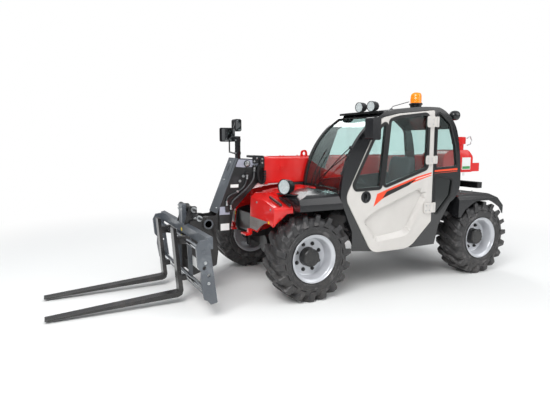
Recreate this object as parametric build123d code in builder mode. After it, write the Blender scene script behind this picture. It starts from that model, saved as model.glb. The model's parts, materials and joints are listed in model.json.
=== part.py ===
# Compact telehandler with a floating-fork carriage.
# Millimetres. +X points forwards, +Y to the machine's left and +Z up. The ground is at Z = 0
# and the origin is on it, below the middle of the machine's box.

import math
import os

from build123d import *

os.makedirs("parts", exist_ok=True)

# ---------------------------------------------------------------- driving dimensions
wheelbase = 2300
front_x = 180
rear_x = front_x - wheelbase
half_width = 905

wheel_sides = 36
lug_pairs = 18
tyre_r = 432
tyre_w = 305
tread_r = 405
bead_r = 216
rim_r = 240
wheel_y = half_width - tyre_w / 2
flat = math.cos(math.pi / wheel_sides)
axle_z = tyre_r * flat
kingpin_y = 650
tine_tip_x = axle_z - rear_x
tail_x = -tine_tip_x

plate_y = 185
plate_thick = 20
boom_half = 110
boom_low, boom_high = 1110, 1390
boom_wall = 10
boom_gap = 8
boom_rear, boom_front = -2300, 350
pivot_x, pivot_z = -2170, 1300
pivot_pin_r = 40

head_half = 120
head_wall = 20
head_x, head_z = 1011, 728
head_pin_r = 28
carriage_half = 870
shaft_r = 24
shafts = [(1284, 616), (1253, 246)]
tine_width = 110

cab_in, cab_out = 125, 880
wall = 35
low_side = 210
floor_z = 590
door_thick = 35
door_gap = 5
glass_thick = 6

# the ends of the two cylinders: (X, Z)
lift_foot, lift_eye = (-1850, 480), (-750, 985)
tilt_foot, tilt_eye = (556, 1330), (936, 598)


# ---------------------------------------------------------------- small makers
def outline(corners, plane, grow=0):
    # a closed outline on a plane from rows of (across, up) or (across, up, corner radius)
    with BuildSketch(plane) as drawn:
        with BuildLine():
            FilletPolyline(
                *[corner[:2] for corner in corners],
                radius=[corner[2] if len(corner) == 3 else 0 for corner in corners],
                close=True,
            )
        make_face()
        if grow:
            offset(amount=grow)
    return drawn.sketch


def side_plate(corners, y, grow=0, mode=Mode.ADD):
    # an (X, Z) outline run between two Y values
    extrude(outline(corners, Plane.XZ.offset(-y[1]), grow), amount=y[1] - y[0], mode=mode)


def front_plate(corners, x, mode=Mode.ADD):
    # a (Y, Z) outline run between two X values
    extrude(outline(corners, Plane.YZ.offset(x[0])), amount=x[1] - x[0], mode=mode)


def top_plate(corners, z, mode=Mode.ADD):
    # an (X, Y) outline run between two Z values
    extrude(outline(corners, Plane.XY.offset(z[0])), amount=z[1] - z[0], mode=mode)


def block(x, y, z, mode=Mode.ADD):
    # a box from its lowest to its highest X, Y and Z
    with Locations(((x[0] + x[1]) / 2, (y[0] + y[1]) / 2, (z[0] + z[1]) / 2)):
        Box(x[1] - x[0], y[1] - y[0], z[1] - z[0], mode=mode)


def both_sides(near, far):
    # the Y ranges of a pair of like plates, left and right of the middle
    return [(near, far), (-far, -near)]


def bar(start, end, radius, mode=Mode.ADD):
    # a round bar or hole from one point to another
    run = Vector(*end) - Vector(*start)
    with BuildSketch(Plane(origin=start, z_dir=run)) as section:
        Circle(radius)
    extrude(section.sketch, amount=run.length, mode=mode)


def rod(start, end, radius, sides=16, mode=Mode.ADD):
    # a bar with many flat sides, for what is round but carries nothing that turns
    run = Vector(*end) - Vector(*start)
    with BuildSketch(Plane(origin=start, z_dir=run)) as section:
        RegularPolygon(radius, sides)
    extrude(section.sketch, amount=run.length, mode=mode)


def pin(x, z, y, radius, mode=Mode.ADD):
    # a round bar or hole that lies across the machine
    bar((x, y[0], z), (x, y[1], z), radius, mode)


def boss(x, z, y, radius, sides=16, mode=Mode.ADD):
    # a many-sided disc that lies across the machine
    rod((x, y[0], z), (x, y[1], z), radius, sides, mode)


def along(start, end, distance):
    # the point at a distance from start towards end, in the side view
    run = math.dist(start, end)
    return (
        start[0] + (end[0] - start[0]) * distance / run,
        0,
        start[1] + (end[1] - start[1]) * distance / run,
    )


def hose(points, radius, mode=Mode.ADD):
    # a hose of straight runs and tangent arcs, with arcs as large as the runs allow
    vectors = [Vector(*point) for point in points]
    radii = []
    for before, here, after in zip(vectors, vectors[1:], vectors[2:]):
        shorter = min((here - before).length, (after - here).length)
        turn = math.radians((here - before).get_angle(after - here))
        radii.append(0.45 * shorter / math.tan(turn / 2))
    with BuildLine() as route:
        FilletPolyline(*points, radius=radii)
    with BuildSketch(Plane(origin=route.line @ 0, z_dir=route.line % 0)) as section:
        RegularPolygon(radius, 8)
    sweep(section.sketch, path=route.line, mode=mode)


def steer_sweep(x, side, grow=0, mode=Mode.ADD):
    # the space that a tyre sweeps about its kingpin, as a turned form with a little clearance
    with BuildSketch(Plane.XZ.offset(-side * kingpin_y)) as half:
        with BuildLine():
            Polyline(
                (x, -60 - grow),
                (x + 500 + grow, -60 - grow),
                (x + 500 + grow, 520 + grow),
                (x + 448 + grow, 660 + grow),
                (x + 372 + grow, 780 + grow),
                (x + 262 + grow, 872 + grow),
                (x, 885 + grow),
                close=True,
            )
        make_face()
    revolve(half.sketch, Axis((x, side * kingpin_y, 0), (0, 0, 1)), mode=mode)


def finish(piece, name):
    piece.part.label = name
    export_step(piece.part, f"parts/{name}.step")


# ---------------------------------------------------------------- chassis
frame_outline = [
    (530, 560, 30),
    (568, 640, 20),
    (538, 820, 30),
    (330, 860),
    (-1780, 860),
    (-1900, 920),
    (-2080, 1390, 30),
    (-2260, 1390, 40),
    (-2380, 1180, 40),
    (-2440, 640, 30),
    (-2400, 560, 30),
    (-1960, 560, 40),
    (-1930, 400, 20),
    (-350, 400, 40),
    (-250, 560, 60),
]
with BuildPart() as chassis_frame:
    for y_range in both_sides(plate_y, plate_y + plate_thick):
        side_plate(frame_outline, y_range)
        # the opening that lightens each side plate
        side_plate(
            [(-1700, 560, 60), (-1500, 760, 60), (-800, 760, 60), (-700, 560, 60)],
            y_range,
            mode=Mode.SUBTRACT,
        )
    # cross-members: (X range, Z range)
    for x_range, z_range in [
        ((510, 530), (600, 800)),
        ((-1560, -400), (400, 420)),
        ((-420, -400), (420, 760)),
        ((-1960, -1940), (620, 800)),
        ((-2400, -2380), (600, 1000)),
        ((-1930, -1580), (400, 420)),
        ((-1930, -1910), (400, 570)),
    ]:
        block(x_range, (-plate_y - 1, plate_y + 1), z_range)
    # ears that hold the lift cylinder's foot, with the ends of its pin
    for y_range in both_sides(45, 65):
        side_plate([(-1930, 400), (-1760, 400), (-1800, 525, 30), (-1900, 525, 30)], y_range)
    for y_range in both_sides(64, 76):
        boss(*lift_foot, y_range, 32)
    # outriggers that carry the cab and the engine tray
    for x_range in ((-1300, -1220), (-700, -620)):
        block(x_range, (-860, -plate_y - plate_thick + 1), (430, 520))
        block(x_range, (plate_y + plate_thick - 1, 840), (430, 520))
    for y_range in both_sides(125, plate_y + plate_thick):
        boss(pivot_x, pivot_z, y_range, 85, 20)
    pin(pivot_x, pivot_z, (-210, 210), pivot_pin_r, mode=Mode.SUBTRACT)
finish(chassis_frame, "chassis_frame")

with BuildPart() as boom_pivot_pin:
    boss(pivot_x, pivot_z, (-225, 225), pivot_pin_r - 0.1)
    for y_range in both_sides(206, 225):
        boss(pivot_x, pivot_z, y_range, 60)
finish(boom_pivot_pin, "boom_pivot_pin")

nose_side = [
    (200, 700),
    (380, 640, 20),
    (564, 640, 8),
    (552, 985, 14),
    (500, 1032, 60),
    (200, 1036),
]
nose_front = [(205, 630), (205, 1040), (300, 1036), (765, 935, 30), (765, 760, 20), (560, 630)]
shoulder_outline = [(-80, 950), (381, 950), (381, 1035), (250, 1060, 80), (-60, 1090)]
with BuildPart() as nose_half:
    side_plate(nose_side, (plate_y + plate_thick, 800))
    front_plate(nose_front, (190, 580), mode=Mode.INTERSECT)
    # room behind for the mudguard
    block((0, 350), (494, 801), (600, 1100), mode=Mode.SUBTRACT)
    side_plate(shoulder_outline, (130, 500))
    # the lip below the inner end
    block((560, 596), (plate_y + plate_thick + 1, 260), (600, 655))
    block((576, 636), (130, 260), (590, 606))
    steer_sweep(front_x, 1, mode=Mode.SUBTRACT)
with BuildPart() as front_nose:
    add(nose_half.part)
    mirror(nose_half.part, about=Plane.XZ)
finish(front_nose, "front_nose")


def nose_face(z):
    # X of the nose's sloping front face at a height
    return 564 - (z - 640) * 12 / 345


# slotted grilles on the nose: 6 upright slots in each
grille_front = [(222, 662), (395, 662), (470, 712), (560, 756), (640, 785), (222, 785)]
with BuildPart() as grille_half:
    side_plate(
        [
            (nose_face(650), 650),
            (nose_face(650) + 9, 650),
            (nose_face(800) + 9, 800),
            (nose_face(800), 800),
        ],
        (200, 700),
    )
    front_plate(grille_front, (540, 600), mode=Mode.INTERSECT)
    with BuildSketch(Plane.YZ.offset(590)) as slots:
        with Locations((335, 725)):
            with GridLocations(36, 1, 6, 1):
                Rectangle(16, 72)
    extrude(slots.sketch, amount=-50, mode=Mode.SUBTRACT)
with BuildPart() as nose_grilles:
    add(grille_half.part)
    mirror(grille_half.part, about=Plane.XZ)
finish(nose_grilles, "nose_grilles")

hitch_x = tail_x + 45
with BuildPart() as tail_weight:
    top_plate(
        [
            (tail_x, -360, 40),
            (tail_x, 360, 40),
            (-2480, 415, 30),
            (-2444, 395),
            (-2444, -395),
            (-2480, -415, 30),
        ],
        (600, 900),
    )
    block((tail_x - 1, -2478), (-70, 70), (590, 901), mode=Mode.SUBTRACT)
    # towing jaw: two lugs and the cheek that carries them
    for z_range in ((550, 575), (470, 495)):
        top_plate([(tail_x, -45, 40), (tail_x, 45, 40), (-2444, 60), (-2444, -60)], z_range)
    block((-2466, -2444), (-60, 60), (495, 600))
    bar((hitch_x, 0, 460), (hitch_x, 0, 590), 16, mode=Mode.SUBTRACT)
finish(tail_weight, "tail_weight")

# ---------------------------------------------------------------- axles, knuckles and wheels
for name, x in (("front_axle", front_x), ("rear_axle", rear_x)):
    with BuildPart() as axle:
        # the beam, deep in the middle and narrow at its ends
        front_plate(
            [
                (-540, axle_z - 60, 20),
                (-220, axle_z - 75, 60),
                (-110, axle_z - 130, 60),
                (110, axle_z - 130, 60),
                (220, axle_z - 75, 60),
                (540, axle_z - 60, 20),
                (540, axle_z + 60, 20),
                (160, axle_z + 90, 20),
                (160, 555),
                (-160, 555),
                (-160, axle_z + 90, 20),
                (-540, axle_z + 60, 20),
            ],
            (x - 55, x + 55),
        )
        rod((x - 130, 0, axle_z), (x + 130, 0, axle_z), 100, 20)
        for y_range in both_sides(520, 560):
            side_plate(
                [
                    (x - 60, axle_z - 150, 20),
                    (x + 60, axle_z - 150, 20),
                    (x + 60, axle_z + 150, 20),
                    (x - 60, axle_z + 150, 20),
                ],
                y_range,
            )
        for z_range in ((axle_z + 115, axle_z + 150), (axle_z - 150, axle_z - 115)):
            for side in (-1, 1):
                top_plate(
                    [
                        (x - 50, side * 559),
                        (x + 50, side * 559),
                        (x + 50, side * 700, 45),
                        (x - 50, side * 700, 45),
                    ],
                    z_range,
                )
    finish(axle, name)


def wheel_plane(x, side):
    # a wheel's own plane: X down to the ground, Z outwards along the axle
    return Plane(origin=(x, 0, axle_z), x_dir=(0, 0, -1), z_dir=(0, side, 0))


def facet(profile):
    # one flat-sided wedge of a turned form, from (distance along the axle, radius) pairs
    half_turn = math.pi / wheel_sides
    reach = max(radius for _, radius in profile) * math.sin(half_turn) + 1
    with BuildPart() as wedge:
        with BuildSketch(Plane.XZ) as section:
            with BuildLine():
                Polyline(*[(radius * flat, out) for out, radius in profile], close=True)
            make_face()
        extrude(section.sketch, amount=reach, both=True)
        for turn in (-1, 1):
            cut = Plane(origin=(0, 0, 0), z_dir=(-math.sin(half_turn), turn * math.cos(half_turn), 0))
            split(bisect_by=cut, keep=Keep.BOTTOM)
    return wedge.part


rim_facet = facet(
    [
        (758, 0),
        (758, 186),
        (868, 202),
        (893, 228),
        (893, rim_r),
        (862, bead_r),
        (640, bead_r),
        (612, rim_r),
        (612, 230),
        (636, 206),
        (745, 198),
        (745, 0),
    ]
)
tyre_facet = facet(
    [
        (wheel_y + 109, bead_r),
        (wheel_y + 148, 300),
        (wheel_y + 148, 375),
        (wheel_y + 126, tread_r),
        (wheel_y - 126, tread_r),
        (wheel_y - 148, 375),
        (wheel_y - 148, 300),
        (wheel_y - 112, bead_r),
    ]
)
lug_facet = facet(
    [
        (wheel_y - tyre_w / 2, 345),
        (wheel_y - 138, tyre_r),
        (wheel_y + 138, tyre_r),
        (wheel_y + tyre_w / 2, 345),
    ]
)


def lug(skew, out):
    # one slanted tread lug over two facets: from the middle of the tread out to a shoulder
    turn = math.pi / wheel_sides
    face = Plane(
        origin=(330 * math.cos(turn), 330 * math.sin(turn), wheel_y),
        x_dir=(-math.sin(turn), math.cos(turn), 0),
        z_dir=(math.cos(turn), math.sin(turn), 0),
    )
    with BuildPart() as bar_of_rubber:
        add(lug_facet)
        add(lug_facet.rotate(Axis.Z, 360 / wheel_sides))
        with BuildSketch(face) as plan:
            with BuildLine():
                Polyline(
                    (skew * 26, out * -8),
                    (skew * 74, out * -8),
                    (-skew * 22, out * 160),
                    (-skew * 70, out * 160),
                    close=True,
                )
            make_face()
        extrude(plan.sketch, amount=120, mode=Mode.INTERSECT)
    return bar_of_rubber.part


corners = [
    ("fl", front_x, 1),
    ("fr", front_x, -1),
    ("rl", rear_x, 1),
    ("rr", rear_x, -1),
]
for tag, x, side in corners:
    with BuildPart() as knuckle:
        rod((x, side * kingpin_y, axle_z - 108), (x, side * kingpin_y, axle_z + 108), 58, 12)
        rod((x, side * kingpin_y, axle_z), (x, side * 735, axle_z), 90, 20)
    finish(knuckle, f"knuckle_{tag}")

    with BuildPart(wheel_plane(x, side)) as rim:
        with PolarLocations(0, wheel_sides):
            add(rim_facet)
    with BuildPart() as hub:
        rod((x, side * 741, axle_z), (x, side * 745, axle_z), 96, 18)
        rod((x, side * 758, axle_z), (x, side * 846, axle_z), 92, 18)
        # the wheel nuts' circle
        with BuildSketch(Plane.XZ.offset(-side * 758)) as nuts:
            with Locations((x, axle_z)):
                with PolarLocations(135, 8):
                    RegularPolygon(15, 6)
        extrude(nuts.sketch, amount=-side * 18)
    with BuildPart() as wheel:
        add(rim.part)
        add(hub.part)
    finish(wheel, f"rim_{tag}")

    outer_lug = lug(side, 1)
    inner_lug = lug(side, -1)
    with BuildPart(wheel_plane(x, side)) as tyre:
        with PolarLocations(0, wheel_sides):
            add(tyre_facet)
        with PolarLocations(0, lug_pairs):
            add(outer_lug)
        with PolarLocations(0, lug_pairs, start_angle=180 / lug_pairs):
            add(inner_lug)
    finish(tyre, f"tyre_{tag}")

# ---------------------------------------------------------------- mudguards
# each guard is a thin moulding: its side outline and its front outline cross, less the same
# two outlines moved in by the wall
guard_wall = 12
front_guard_side = [
    (-143, 925),
    (-115, 1000),
    (-113, 1062, 30),
    (50, 1094, 300),
    (200, 1068, 120),
    (345, 1010, 10),
    (345, 900),
    (-143, 900),
]
front_guard_front = [(500, 880), (500, 1110), (700, 1096, 120), (860, 1040, 60), (892, 960, 10), (892, 880)]
rear_guard_side = [
    (-1735, 880),
    (-1735, 935, 10),
    (-1900, 962, 120),
    (-2080, 970, 200),
    (-2250, 952, 120),
    (-2370, 900, 80),
    (-2475, 800, 8),
    (-2475, 700),
    (-1735, 700),
]
rear_guard_front = [(432, 690), (432, 990), (700, 990, 90), (850, 960, 60), (892, 900, 10), (892, 690)]


def moved(corners, across_by, up_by):
    # the same outline, moved over and up
    return [(corner[0] + across_by, corner[1] + up_by, *corner[2:]) for corner in corners]


def guard(side_outline, front_outline, x_range, x):
    # one left-hand mudguard with the tyre's turning space cut from it
    with BuildPart() as hollow:
        side_plate(moved(side_outline, -15, -guard_wall), (420, 900))
        front_plate(moved(front_outline, -guard_wall, 0), x_range, mode=Mode.INTERSECT)
    with BuildPart() as shell:
        side_plate(side_outline, (420, 892))
        front_plate(front_outline, x_range, mode=Mode.INTERSECT)
        add(hollow.part, mode=Mode.SUBTRACT)
        steer_sweep(x, 1, mode=Mode.SUBTRACT)
    return shell.part


front_guard = guard(front_guard_side, front_guard_front, (-200, 400), front_x)
with BuildPart() as front_fenders:
    add(front_guard)
    mirror(front_guard, about=Plane.XZ)
finish(front_fenders, "front_fenders")

rear_guard = guard(rear_guard_side, rear_guard_front, (-2500, -1700), rear_x)
with BuildPart() as rear_guard_bracket:
    block((-2160, -2090), (plate_y + plate_thick, 434), (905, 940))
with BuildPart() as rear_fenders:
    for half in (rear_guard, rear_guard_bracket.part):
        add(half)
        mirror(half, about=Plane.XZ)
finish(rear_fenders, "rear_fenders")

# ---------------------------------------------------------------- engine side
with BuildPart() as engine_block:
    block((-1350, -700), (-760, -330), (545, 1010))
finish(engine_block, "engine_block")

tray_end = [(-860, 545), (-860, 1020, 30), (-815, 1090, 20), (-205, 1130), (-205, 545)]
with BuildPart() as engine_tray:
    block((-1560, -330), (-860, -plate_y - plate_thick), (521, 545))
    for x_range in ((-1560, -1535), (-355, -330)):
        front_plate(tray_end, x_range)
    block((-1560, -330), (-230, -plate_y - plate_thick), (545, 1130))
    for x in (front_x, rear_x):
        steer_sweep(x, -1, mode=Mode.SUBTRACT)
finish(engine_tray, "engine_tray")

# the hood opens about a line along its top inner edge
hood_section = [
    (-890, 556, 10),
    (-895, 1050, 60),
    (-840, 1140, 60),
    (-230, 1185, 15),
    (-200, 1175),
    (-200, 1160),
    (-230, 1160, 15),
    (-828, 1116, 40),
    (-870, 1040, 45),
    (-866, 556),
]
hood_end = [
    (-869, 556),
    (-871, 1038, 40),
    (-828, 1118, 40),
    (-231, 1161),
    (-231, 1106),
    (-800, 1060),
    (-845, 1020),
    (-845, 556),
]
with BuildPart() as engine_hood:
    front_plate(hood_section, (-1586, -304))
    for x_range in ((-1586, -1568), (-322, -304)):
        front_plate(hood_end, x_range)
    for x in (front_x, rear_x):
        steer_sweep(x, -1, mode=Mode.SUBTRACT)
    # louvres: two banks of long slots through the side
    with BuildSketch(Plane.XZ.offset(840)) as louvres:
        for middle in (-1120, -780):
            with Locations((middle, 860)):
                with GridLocations(1, 46, 1, 6):
                    Rectangle(270, 20)
    extrude(louvres.sketch, amount=70, mode=Mode.SUBTRACT)
finish(engine_hood, "engine_hood")

# ---------------------------------------------------------------- cab
door_outline = [
    (-1311, 1893, 25),
    (-1320, 690, 30),
    (-1021, 417, 250),
    (-513, 417, 140),
    (-174, 1003, 140),
    (-588, 1795, 120),
    (-826, 1846, 300),
]
front_window = [
    (-300, 1090, 25),
    (-600, 1095, 25),
    (-660, 1745, 15),
    (-590, 1700, 60),
    (-500, 1560),
    (-275, 1130, 30),
]
rear_window = [
    (-650, 1105, 25),
    (-1225, 1280, 40),
    (-1225, 1845, 50),
    (-830, 1800, 100),
    (-715, 1770, 30),
]
quarter_window = [
    (-1360, 1270, 25),
    (-1680, 1285, 25),
    (-1640, 1520, 150),
    (-1545, 1760, 150),
    (-1360, 1885, 25),
]
lower_quarter = [(-1360, 1190, 25), (-1625, 1140, 30), (-1600, 960, 60), (-1370, 730, 30)]
right_window = [
    (-330, 1130, 30),
    (-1620, 1200, 40),
    (-1560, 1700, 120),
    (-1350, 1850, 90),
    (-800, 1820, 120),
    (-560, 1700, 60),
]


def cab_section(y, grow=0, mode=Mode.ADD):
    # the cab's side outline, lines and arcs, run between two Y values
    with BuildSketch(Plane.XZ.offset(-y[1])) as section:
        with BuildLine():
            ThreePointArc((-631, 1851), (-238, 1475), (-121, 990))
            Polyline(
                (-121, 990),
                (-172, 868),
                (-262, 660),
                (-268, 460),
                (-700, 415),
                (-1385, 425),
                (-1440, 640),
                (-1601, 883),
            )
            ThreePointArc((-1601, 883), (-1716, 985), (-1747, 1126))
            ThreePointArc((-1747, 1126), (-1725, 1390), (-1676, 1628))
            ThreePointArc((-1676, 1628), (-1570, 1812), (-1376, 1924))
            ThreePointArc((-1376, 1924), (-1000, 1913), (-631, 1851))
        make_face()
        if grow:
            offset(amount=grow)
    extrude(section.sketch, amount=y[1] - y[0], mode=mode)


screen_z = (1010, 1815)
screen_y = (cab_in + wall, cab_out - wall)
rear_pane_z = (1150, 1700)
with BuildPart() as cab_space:
    cab_section((cab_in + wall, cab_out - wall), -wall)
    block((-2000, 200), (-100, 1000), (400, floor_z), mode=Mode.SUBTRACT)
    block((-2000, 200), (0, low_side + wall), (400, 865 + wall), mode=Mode.SUBTRACT)
    steer_sweep(front_x, 1, grow=wall, mode=Mode.SUBTRACT)
    steer_sweep(rear_x, 1, grow=wall, mode=Mode.SUBTRACT)

with BuildPart() as cab_frame:
    cab_section((cab_in, cab_out))
    add(cab_space.part, mode=Mode.SUBTRACT)
    for x in (front_x, rear_x):
        steer_sweep(x, 1, mode=Mode.SUBTRACT)
    block((-2000, 200), (cab_in - 1, cab_out - wall), (400, 555), mode=Mode.SUBTRACT)
    block((-2000, 200), (0, low_side), (400, 865), mode=Mode.SUBTRACT)
    block((-1040, -560), (cab_out - wall - 1, cab_out + 1), (400, 450), mode=Mode.SUBTRACT)
    left_wall = (cab_out - wall - 1, cab_out + 1)
    side_plate(door_outline, left_wall, door_gap, mode=Mode.SUBTRACT)
    side_plate(quarter_window, left_wall, mode=Mode.SUBTRACT)
    side_plate(lower_quarter, left_wall, mode=Mode.SUBTRACT)
    side_plate(right_window, (cab_in - 1, cab_in + wall + 1), mode=Mode.SUBTRACT)
    block((-640, 0), screen_y, screen_z, mode=Mode.SUBTRACT)
    block((-1800, -1580), screen_y, rear_pane_z, mode=Mode.SUBTRACT)
    # the visor over the windscreen
    top_plate(
        [(-700, 180), (-560, 180, 20), (-540, 365), (-565, 700, 150), (-610, 872, 20), (-700, 872)],
        (1846, 1868),
    )
finish(cab_frame, "cab_frame")

with BuildPart() as curved_panes:
    cab_section((screen_y[0], screen_y[1]), -12)
    cab_section((0, 1000), -12 - glass_thick, mode=Mode.SUBTRACT)
with BuildPart() as screen:
    add(curved_panes.part)
    block((-640, 0), screen_y, screen_z, mode=Mode.INTERSECT)
with BuildPart() as rear_pane:
    add(curved_panes.part)
    block((-1800, -1580), screen_y, rear_pane_z, mode=Mode.INTERSECT)
with BuildPart() as cab_glass:
    add(screen.part)
    add(rear_pane.part)
    for window in (quarter_window, lower_quarter):
        side_plate(window, (cab_out - 12 - glass_thick, cab_out - 12))
    side_plate(right_window, (cab_in + 12, cab_in + 12 + glass_thick))
finish(cab_glass, "cab_glass")

# the pressed recess in the door: its rim on the outside and its floor
press_rim = [
    (-390, 760, 45),
    (-560, 520, 120),
    (-1000, 560, 160),
    (-1255, 990, 50),
    (-1150, 1070, 40),
    (-560, 860, 120),
]
press_floor = [
    (-420, 760, 30),
    (-580, 575, 100),
    (-960, 615, 130),
    (-1195, 985, 35),
    (-1140, 1045, 30),
    (-560, 845, 110),
]
latch_x, latch_z, latch_r = -424, 1003, 62
door_face = cab_out + 4
with BuildPart() as door_shell:
    side_plate(door_outline, (cab_out - door_thick, door_face))
    for window in (front_window, rear_window):
        side_plate(window, (cab_out - door_thick - 1, door_face + 1), mode=Mode.SUBTRACT)
    rim_sketch = outline(press_rim, Plane.XZ.offset(-door_face))
    floor_sketch = outline(press_floor, Plane.XZ.offset(-door_face + 12))
    loft([rim_sketch, floor_sketch], ruled=True, mode=Mode.SUBTRACT)
    pin(latch_x, latch_z, (door_face - 14, door_face + 1), latch_r, mode=Mode.SUBTRACT)
    # hinge leaves and their knuckles at the rear edge: heights of the three hinges
    for z in (834, 1370, 1763):
        block((-1310, -1255), (door_face - 1, door_face + 8), (z - 28, z + 28))
        rod((-1315, 892, z - 28), (-1315, 892, z + 28), 11, 10)
finish(door_shell, "door_shell")

with BuildPart() as door_glass:
    for window in (front_window, rear_window):
        side_plate(window, (cab_out - 20, cab_out - 20 + glass_thick))
finish(door_glass, "door_glass")

with BuildPart() as door_latch:
    boss(latch_x, latch_z, (door_face - 14, door_face - 8), latch_r - 2, 24)
    boss(latch_x, latch_z, (door_face - 8, door_face + 3), latch_r - 2, 24)
    boss(latch_x, latch_z, (door_face - 8, door_face + 4), latch_r - 16, 24, mode=Mode.SUBTRACT)
    block((latch_x - 14, latch_x + 14), (door_face - 9, door_face), (latch_z - 47, latch_z + 47))
finish(door_latch, "door_latch")

with BuildPart() as driver_seat:
    side_plate(
        [
            (-800, 700, 30),
            (-790, 800, 40),
            (-1080, 830, 60),
            (-1195, 1420, 40),
            (-1290, 1420, 40),
            (-1200, 760, 60),
            (-1170, 700, 20),
        ],
        (310, 690),
    )
    block((-1120, -860), (340, 660), (floor_z, 701))
finish(driver_seat, "driver_seat")

wheel_hub, wheel_rim = (-548, 500, 1108), (-566, 500, 1126)
with BuildPart() as cab_controls:
    side_plate([(-420, 900, 20), (-420, 990, 40), (-350, 1020, 20), (-330, 1020), (-330, 900)], (200, 760))
    block((-420, -380), (440, 560), (floor_z, 901))
    rod((-400, 500, 960), wheel_hub, 28, 12)
    rod(wheel_hub, wheel_rim, 185, 28)
    rod((-538, 500, 1098), (-580, 500, 1140), 160, 28, mode=Mode.SUBTRACT)
    rod(wheel_hub, wheel_rim, 45, 12)
    for end in ((-557, 330, 1117), (-557, 670, 1117), (-437, 500, 997)):
        rod((-557, 500, 1117), end, 9, 6)
finish(cab_controls, "cab_controls")

# ---------------------------------------------------------------- lamps, mirrors and fittings
beacon_x, beacon_y = -1392, 500
with BuildPart() as beacon:
    # base, seal and lens: (lowest Z, highest Z, radius)
    for low, high, radius in ((1920, 1975, 62), (1975, 1992, 68), (1992, 2090, 56), (2090, 2115, 48)):
        rod((beacon_x, beacon_y, low), (beacon_x, beacon_y, high), radius, 20)
    cab_section((cab_in, cab_out), mode=Mode.SUBTRACT)
finish(beacon, "beacon")

# round lamps, in steps from the back to the lens: (nearest X, farthest X, radius)
lamp_steps = [(0, 14, 34), (14, 40, 47), (40, 88, 52), (88, 100, 54)]
with BuildPart() as lamp_shell:
    for near, far, radius in lamp_steps:
        rod((near, 0, 0), (far, 0, 0), radius, 20)
with BuildPart() as work_lamps:
    # two on the visor that face forwards, one behind the roof that faces back
    for x, y in ((-590, 600), (-605, 785)):
        with Locations((x, y, 1920)):
            add(lamp_shell.part)
        rod((x + 60, y, 1868), (x + 60, y, 1890), 14, 8)
    with Locations(Location((-1730, 700, 1857), (0, 180, 0))):
        add(lamp_shell.part.scale(1.1))
    rod((-1742, 700, 1840), (-1560, 700, 1800), 12, 8)
    cab_section((cab_in, cab_out), mode=Mode.SUBTRACT)
finish(work_lamps, "work_lamps")

with BuildPart() as headlamps:
    for side in (-1, 1):
        with Locations(Location((250, side * 570, 1112))):
            add(lamp_shell.part.scale(1.34))
        rod((300, side * 570, 1030), (300, side * 570, 1060), 16, 8)
        block((262, 338), sorted((side * 545, side * 595)), (1022, 1036))
    add(front_fenders.part, mode=Mode.SUBTRACT)
finish(headlamps, "headlamps")

with BuildPart() as mirror_left:
    with BuildSketch(Plane.XZ.offset(-960)) as housing:
        with Locations((-380, 1682)):
            RectangleRounded(100, 215, 22)
    extrude(housing.sketch, amount=-120)
    rod((-380, 962, 1660), (-380, 905, 1640), 9, 8)
    rod((-380, 912, 1640), (-445, 868, 1560), 9, 8)
    rod((-380, 905, 1610), (-380, 905, 1670), 8, 8)
    cab_section((cab_in, cab_out), mode=Mode.SUBTRACT)
finish(mirror_left, "mirror_left")

post_x, post_y = 265, -850
with BuildPart() as mirror_right:
    rod((post_x, post_y, 1040), (post_x, post_y, 1615), 35, 16)
    rod((post_x, post_y, 1400), (345, -930, 1430), 10, 8)
    rod((345, -930, 1422), (345, -930, 1565), 10, 8)
    rod((345, -930, 1550), (250, -965, 1810), 8, 8)
    with BuildSketch(Plane.XZ.offset(935)) as square_mirror:
        with Locations((365, 1646)):
            RectangleRounded(200, 175, 18)
    extrude(square_mirror.sketch, amount=26)
    with BuildSketch(Plane.XZ.offset(960)) as small_mirror:
        with Locations((210, 1768)):
            RectangleRounded(90, 157, 26)
    extrude(small_mirror.sketch, amount=120)
    add(front_fenders.part, mode=Mode.SUBTRACT)
finish(mirror_right, "mirror_right")

# ---------------------------------------------------------------- behind the cab
with BuildPart() as rear_tank:
    side_plate(
        [
            (-1765, 1190),
            (-1765, 1400, 60),
            (-1850, 1455, 80),
            (-2170, 1462, 90),
            (-2256, 1380, 60),
            (-2256, 1190, 20),
        ],
        (240, 600),
    )
    block((-2095, -2035), (plate_y + plate_thick, 241), (1210, 1290))
    # neck and cap on top
    rod((-2110, 500, 1440), (-2110, 500, 1530), 55, 12)
    rod((-2110, 500, 1530), (-2110, 500, 1610), 80, 12)
    # the bracket behind
    block((-2372, -2255), (560, 600), (1196, 1212))
    block((-2372, -2255), (588, 600), (1211, 1300))
finish(rear_tank, "rear_tank")

with BuildPart() as tail_lamps:
    for y_range in both_sides(250, 620):
        block((-2420, -2340), y_range, (985, 1060))
    block((-2345, -2330), (205, 260), (1000, 1045))
    block((-2345, -2330), (-260, -205), (1000, 1045))
finish(tail_lamps, "tail_lamps")

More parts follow.
